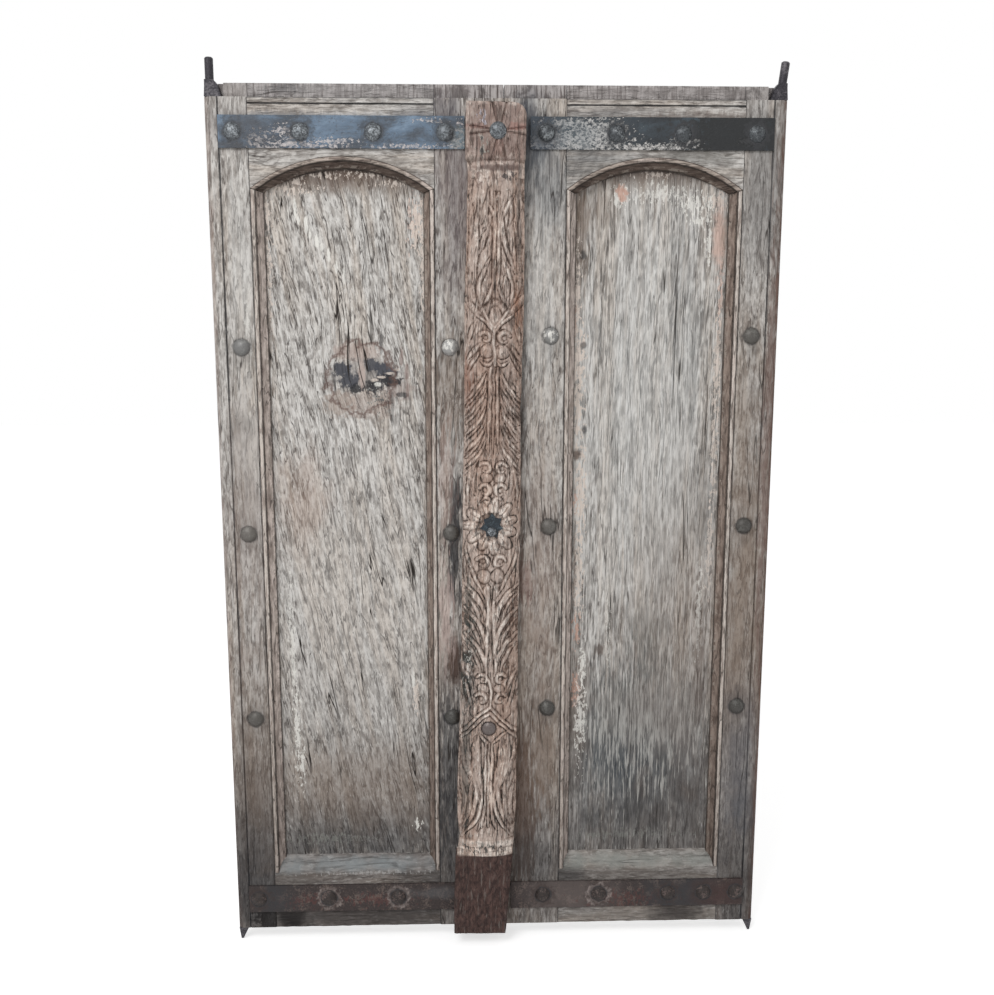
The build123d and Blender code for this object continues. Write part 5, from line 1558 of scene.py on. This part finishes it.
def painted_iron(name, tones, scrapes, pale, spots, sparse):
    """Iron under old paint. Scrapes are x, z, width and height of where it has gone."""
    material, tree, shader = new_material(name)
    where = read(tree, "object")
    broad = cloud(tree, where, (15, 20, 34), 4, 0.6, 0.4)
    fine = cloud(tree, where, (260, 200, 330), 4, 0.65, 0.6)
    dark, middle, light = tones
    colour = lay(tree, dark, middle, fade(tree, broad, 0.36, 0.56))
    colour = lay(tree, colour, light, fade(tree, broad, 0.52, 0.7))
    colour = lay(tree, colour, dark, fade(tree, fine, 0.44, 0.34, 0.0, 0.7))
    total = None
    for x, z, wide, tall in scrapes:
        mask = placed(tree, patch_tree, Place=where, Centre=(x * MM, IRON_FACE * MM, z * MM),
                      Size=(wide / 2 * MM, 1.0, tall / 2 * MM),
                      Fineness=(190.0, 5.0, 260.0), Ragged=7.0, Softness=0.2, Sparse=sparse)["Mask"]
        total = mask if total is None else figure(tree, "MAXIMUM", total, mask)
    colour = lay(tree, colour, pale,
                 figure(tree, "MULTIPLY", total, fade(tree, fine, 0.42, 0.56, 0.25, 1.0)))
    colour = patches(tree, colour, where, IRON_FACE, spots)
    join(tree, colour, shader.inputs["Base Color"])
    join(tree, fade(tree, fine, 0.3, 0.7, 0.32, 0.65), shader.inputs["Roughness"])
    height = figure(tree, "SUBTRACT", figure(tree, "MULTIPLY", fine, 0.6),
                    figure(tree, "MULTIPLY", total, 0.5))
    bump(tree, shader, figure(tree, "ADD", height, broad), 0.0012, 0.8)
    return material


def iron(name, tones, metal, rough, spots=(), hammered=0.8, reach=15.0):
    """Forged iron: hammer marks, rust in the hollows and a rubbed surface."""
    material, tree, shader = new_material(name)
    where = read(tree, "object")
    broad = cloud(tree, where, (70, 70, 70), 3, 0.55, 0.3)
    fine = cloud(tree, where, (420, 420, 420), 4, 0.65, 0.5)
    dark, middle, light = tones
    colour = lay(tree, dark, middle, fade(tree, fine, 0.35, 0.6))
    colour = lay(tree, colour, light,
                 fade(tree, figure(tree, "ADD", broad, fine), 1.0, 1.25, 0.0, 0.85))
    colour = patches(tree, colour, where, IRON_FACE, spots, reach)
    join(tree, colour, shader.inputs["Base Color"])
    join(tree, fade(tree, fine, 0.3, 0.7, rough, rough + 0.25), shader.inputs["Roughness"])
    shader.inputs["Metallic"].default_value = metal
    bump(tree, shader, figure(tree, "ADD", broad, figure(tree, "MULTIPLY", fine, 0.5)), 0.0014,
         hammered)
    return material


def strap_stud_stains_and_shadows(name, halo, strength, ringed=()):
    """Dirt round each stud of a strap, a painted shadow in a dark ring close round it, and a pale ring
    round those that have been rubbed clean.
    """
    spots = ()
    for count, (x, _, z) in enumerate(stud_places(name, X)):
        if count in ringed:
            spots += ((x, z, 34, 33, (0.34, 0.29, 0.27), 0.75, HALO),)
        # The black ring close round each stud is a painted shadow; the wider one is dirt.
        spots += ((x, z, 34, 34, halo, strength, KNOT), (x, z, 25, 25, BLACK, 0.8, DISC))
    return spots


LEFT_STRAP_SPOTS = ((40, 1122, 60, 50, (0.045, 0.045, 0.05), 0.7, STAIN),
                    (322, 1112, 30, 34, (0.16, 0.19, 0.18), 0.5, KNOT))
RIGHT_STRAP_SPOTS = ((428, 1120, 50, 60, (0.02, 0.03, 0.05), 0.8, STAIN),
                     (690, 1120, 170, 70, (0.004, 0.005, 0.006), 0.97, KNOT),
                     (476, 1122, 100, 40, (0.12, 0.15, 0.17), 0.5, STAIN))
left_paint = painted_iron("steel_blue_paint",
                          ((0.05, 0.062, 0.08), (0.12, 0.175, 0.245), (0.22, 0.30, 0.40)), LEFT_SCRAPES,
                          (0.50, 0.465, 0.46),
                          LEFT_STRAP_SPOTS + strap_stud_stains_and_shadows("left_top_strap_studs", BLACK, 0.55), 0.3)
right_paint = painted_iron("blue_black_paint",
                           ((0.010, 0.013, 0.017), (0.022, 0.03, 0.038), (0.05, 0.07, 0.086)),
                           RIGHT_SCRAPES,
                           (0.56, 0.54, 0.52),
                           RIGHT_STRAP_SPOTS + strap_stud_stains_and_shadows("right_top_strap_studs", BLACK, 0.55), -0.1)
RUST_TONES = ((0.02, 0.013, 0.012), (0.05, 0.037, 0.035), (0.15, 0.115, 0.10))
RED_RUST = (0.10, 0.035, 0.03)
RUST_SPOTS = {
    "left": ((100, 44, 90, 20, RED_RUST, 0.55, FLAKES), (200, 44, 90, 20, RED_RUST, 0.55, FLAKES),
             (45, 44, 50, 60, BLACK, 0.7, STAIN),
             (280, 52, 120, 14, (0.10, 0.10, 0.105), 0.5, STAIN)),
    "right": ((470, 44, 110, 60, (0.16, 0.13, 0.12), 0.5, STAIN),
              (560, 40, 120, 22, RED_RUST, 0.5, FLAKES), (640, 46, 90, 60, BLACK, 0.75, STAIN),
              (700, 44, 70, 40, (0.05, 0.022, 0.02), 0.7, STAIN)),
}
rusty = {side: iron(side + "_rusty_strap_iron", RUST_TONES, 0.15, 0.6,
                    RUST_SPOTS[side] + strap_stud_stains_and_shadows(side + "_bottom_strap_studs",
                                                    (0.04, 0.025, 0.022), 0.6,
                                                    (1, 2) if side == "left" else (1,)))
         for side in ("left", "right")}
rusty_stud = iron("rusty_stud_iron",
                  ((0.014, 0.010, 0.009), (0.036, 0.026, 0.023), (0.15, 0.11, 0.10)), 0.3, 0.45)
stud_iron = iron("blue_grey_stud_iron",
                 ((0.05, 0.055, 0.06), (0.15, 0.165, 0.18), (0.40, 0.43, 0.45)), 0.4, 0.26,
                 ((359, 312, 40, 40, (0.13, 0.10, 0.09), 0.8, DISC),), 0.35, 45.0)
dark_stud_iron = iron("blue_black_stud_iron",
                      ((0.03, 0.033, 0.037), (0.075, 0.083, 0.09), (0.28, 0.30, 0.31)), 0.4, 0.3,
                      (), 0.35)

# How light each stud of a stile is, from the foot up.
STUD_TONES = {"left_outer": (0.085, 0.14, 0.20), "left_inner": (0.035, 0.08, 0.38),
              "right_inner": (0.05, 0.11, 0.27), "right_outer": (0.045, 0.055, 0.09)}
stud_spots = ()
for row, greys in STUD_TONES.items():
    for (x, _, z), grey in zip(stud_places(row + "_stile_studs", Z), greys):
        warm = 0.9 if grey < 0.15 else 0.98
        stud_spots += ((x, z, 40, 40, (grey, warm * grey, warm ** 2 * grey), 0.8, DISC),)
        if grey > 0.25:
            stud_spots += ((x - 2, z + 1, 17, 15, CHALK, 0.6, FLAKES),)
stile_stud_iron = iron("olive_grey_stud_iron",
                       ((0.04, 0.038, 0.035), (0.15, 0.15, 0.137), (0.40, 0.41, 0.38)), 0.3, 0.36,
                       stud_spots, 0.35)
dark_iron = iron("dark_pivot_iron",
                 ((0.015, 0.014, 0.018), (0.04, 0.036, 0.044), (0.13, 0.12, 0.13)), 0.4, 0.36)
plate_iron = iron("blue_black_plate",
                  ((0.01, 0.015, 0.02), (0.025, 0.035, 0.045), (0.09, 0.12, 0.14)), 0.3, 0.45)

finishes["left_top_strap"] = left_paint
finishes["right_top_strap"] = right_paint
for side in ("left", "right"):
    finishes[side + "_bottom_strap"] = rusty[side]
    finishes[side + "_bottom_strap_studs"] = rusty_stud
    finishes[side + "_top_strap_studs"] = stud_iron if side == "left" else dark_stud_iron
    finishes[side + "_outer_stile_studs"] = stile_stud_iron
    finishes[side + "_inner_stile_studs"] = stile_stud_iron
    finishes[side + "_top_pivot"] = dark_iron
    finishes[side + "_bottom_pivot"] = dark_iron
    for name in ("lower_ledge", "middle_ledge", "upper_ledge"):
        finishes[side + "_" + name] = ledge_teak
finishes["meeting_strip_nails"] = stud_iron
finishes["rosette_plate"] = plate_iron

for node, material in finishes.items():
    skin = next((o for o in scene.objects if o.get("stands_for") == node), nodes[node])
    skin.data.materials.clear()
    skin.data.materials.append(material)
print(len(finishes), "pieces finished")

# %% [markdown]
# Every skin moves with the leaf that it belongs to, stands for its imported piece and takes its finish.

# %% Join the skins to the frame
bodies = {name: body for body,
          names in frame["record"]["behaviour"]["bodies"].items() for name in names}
skins = [o for o in scene.objects if "stands_for" in o]
for piece in skins:
    node = piece["stands_for"]
    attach(piece, bodies[node])
    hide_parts(node)
print(len(skins), "skins")
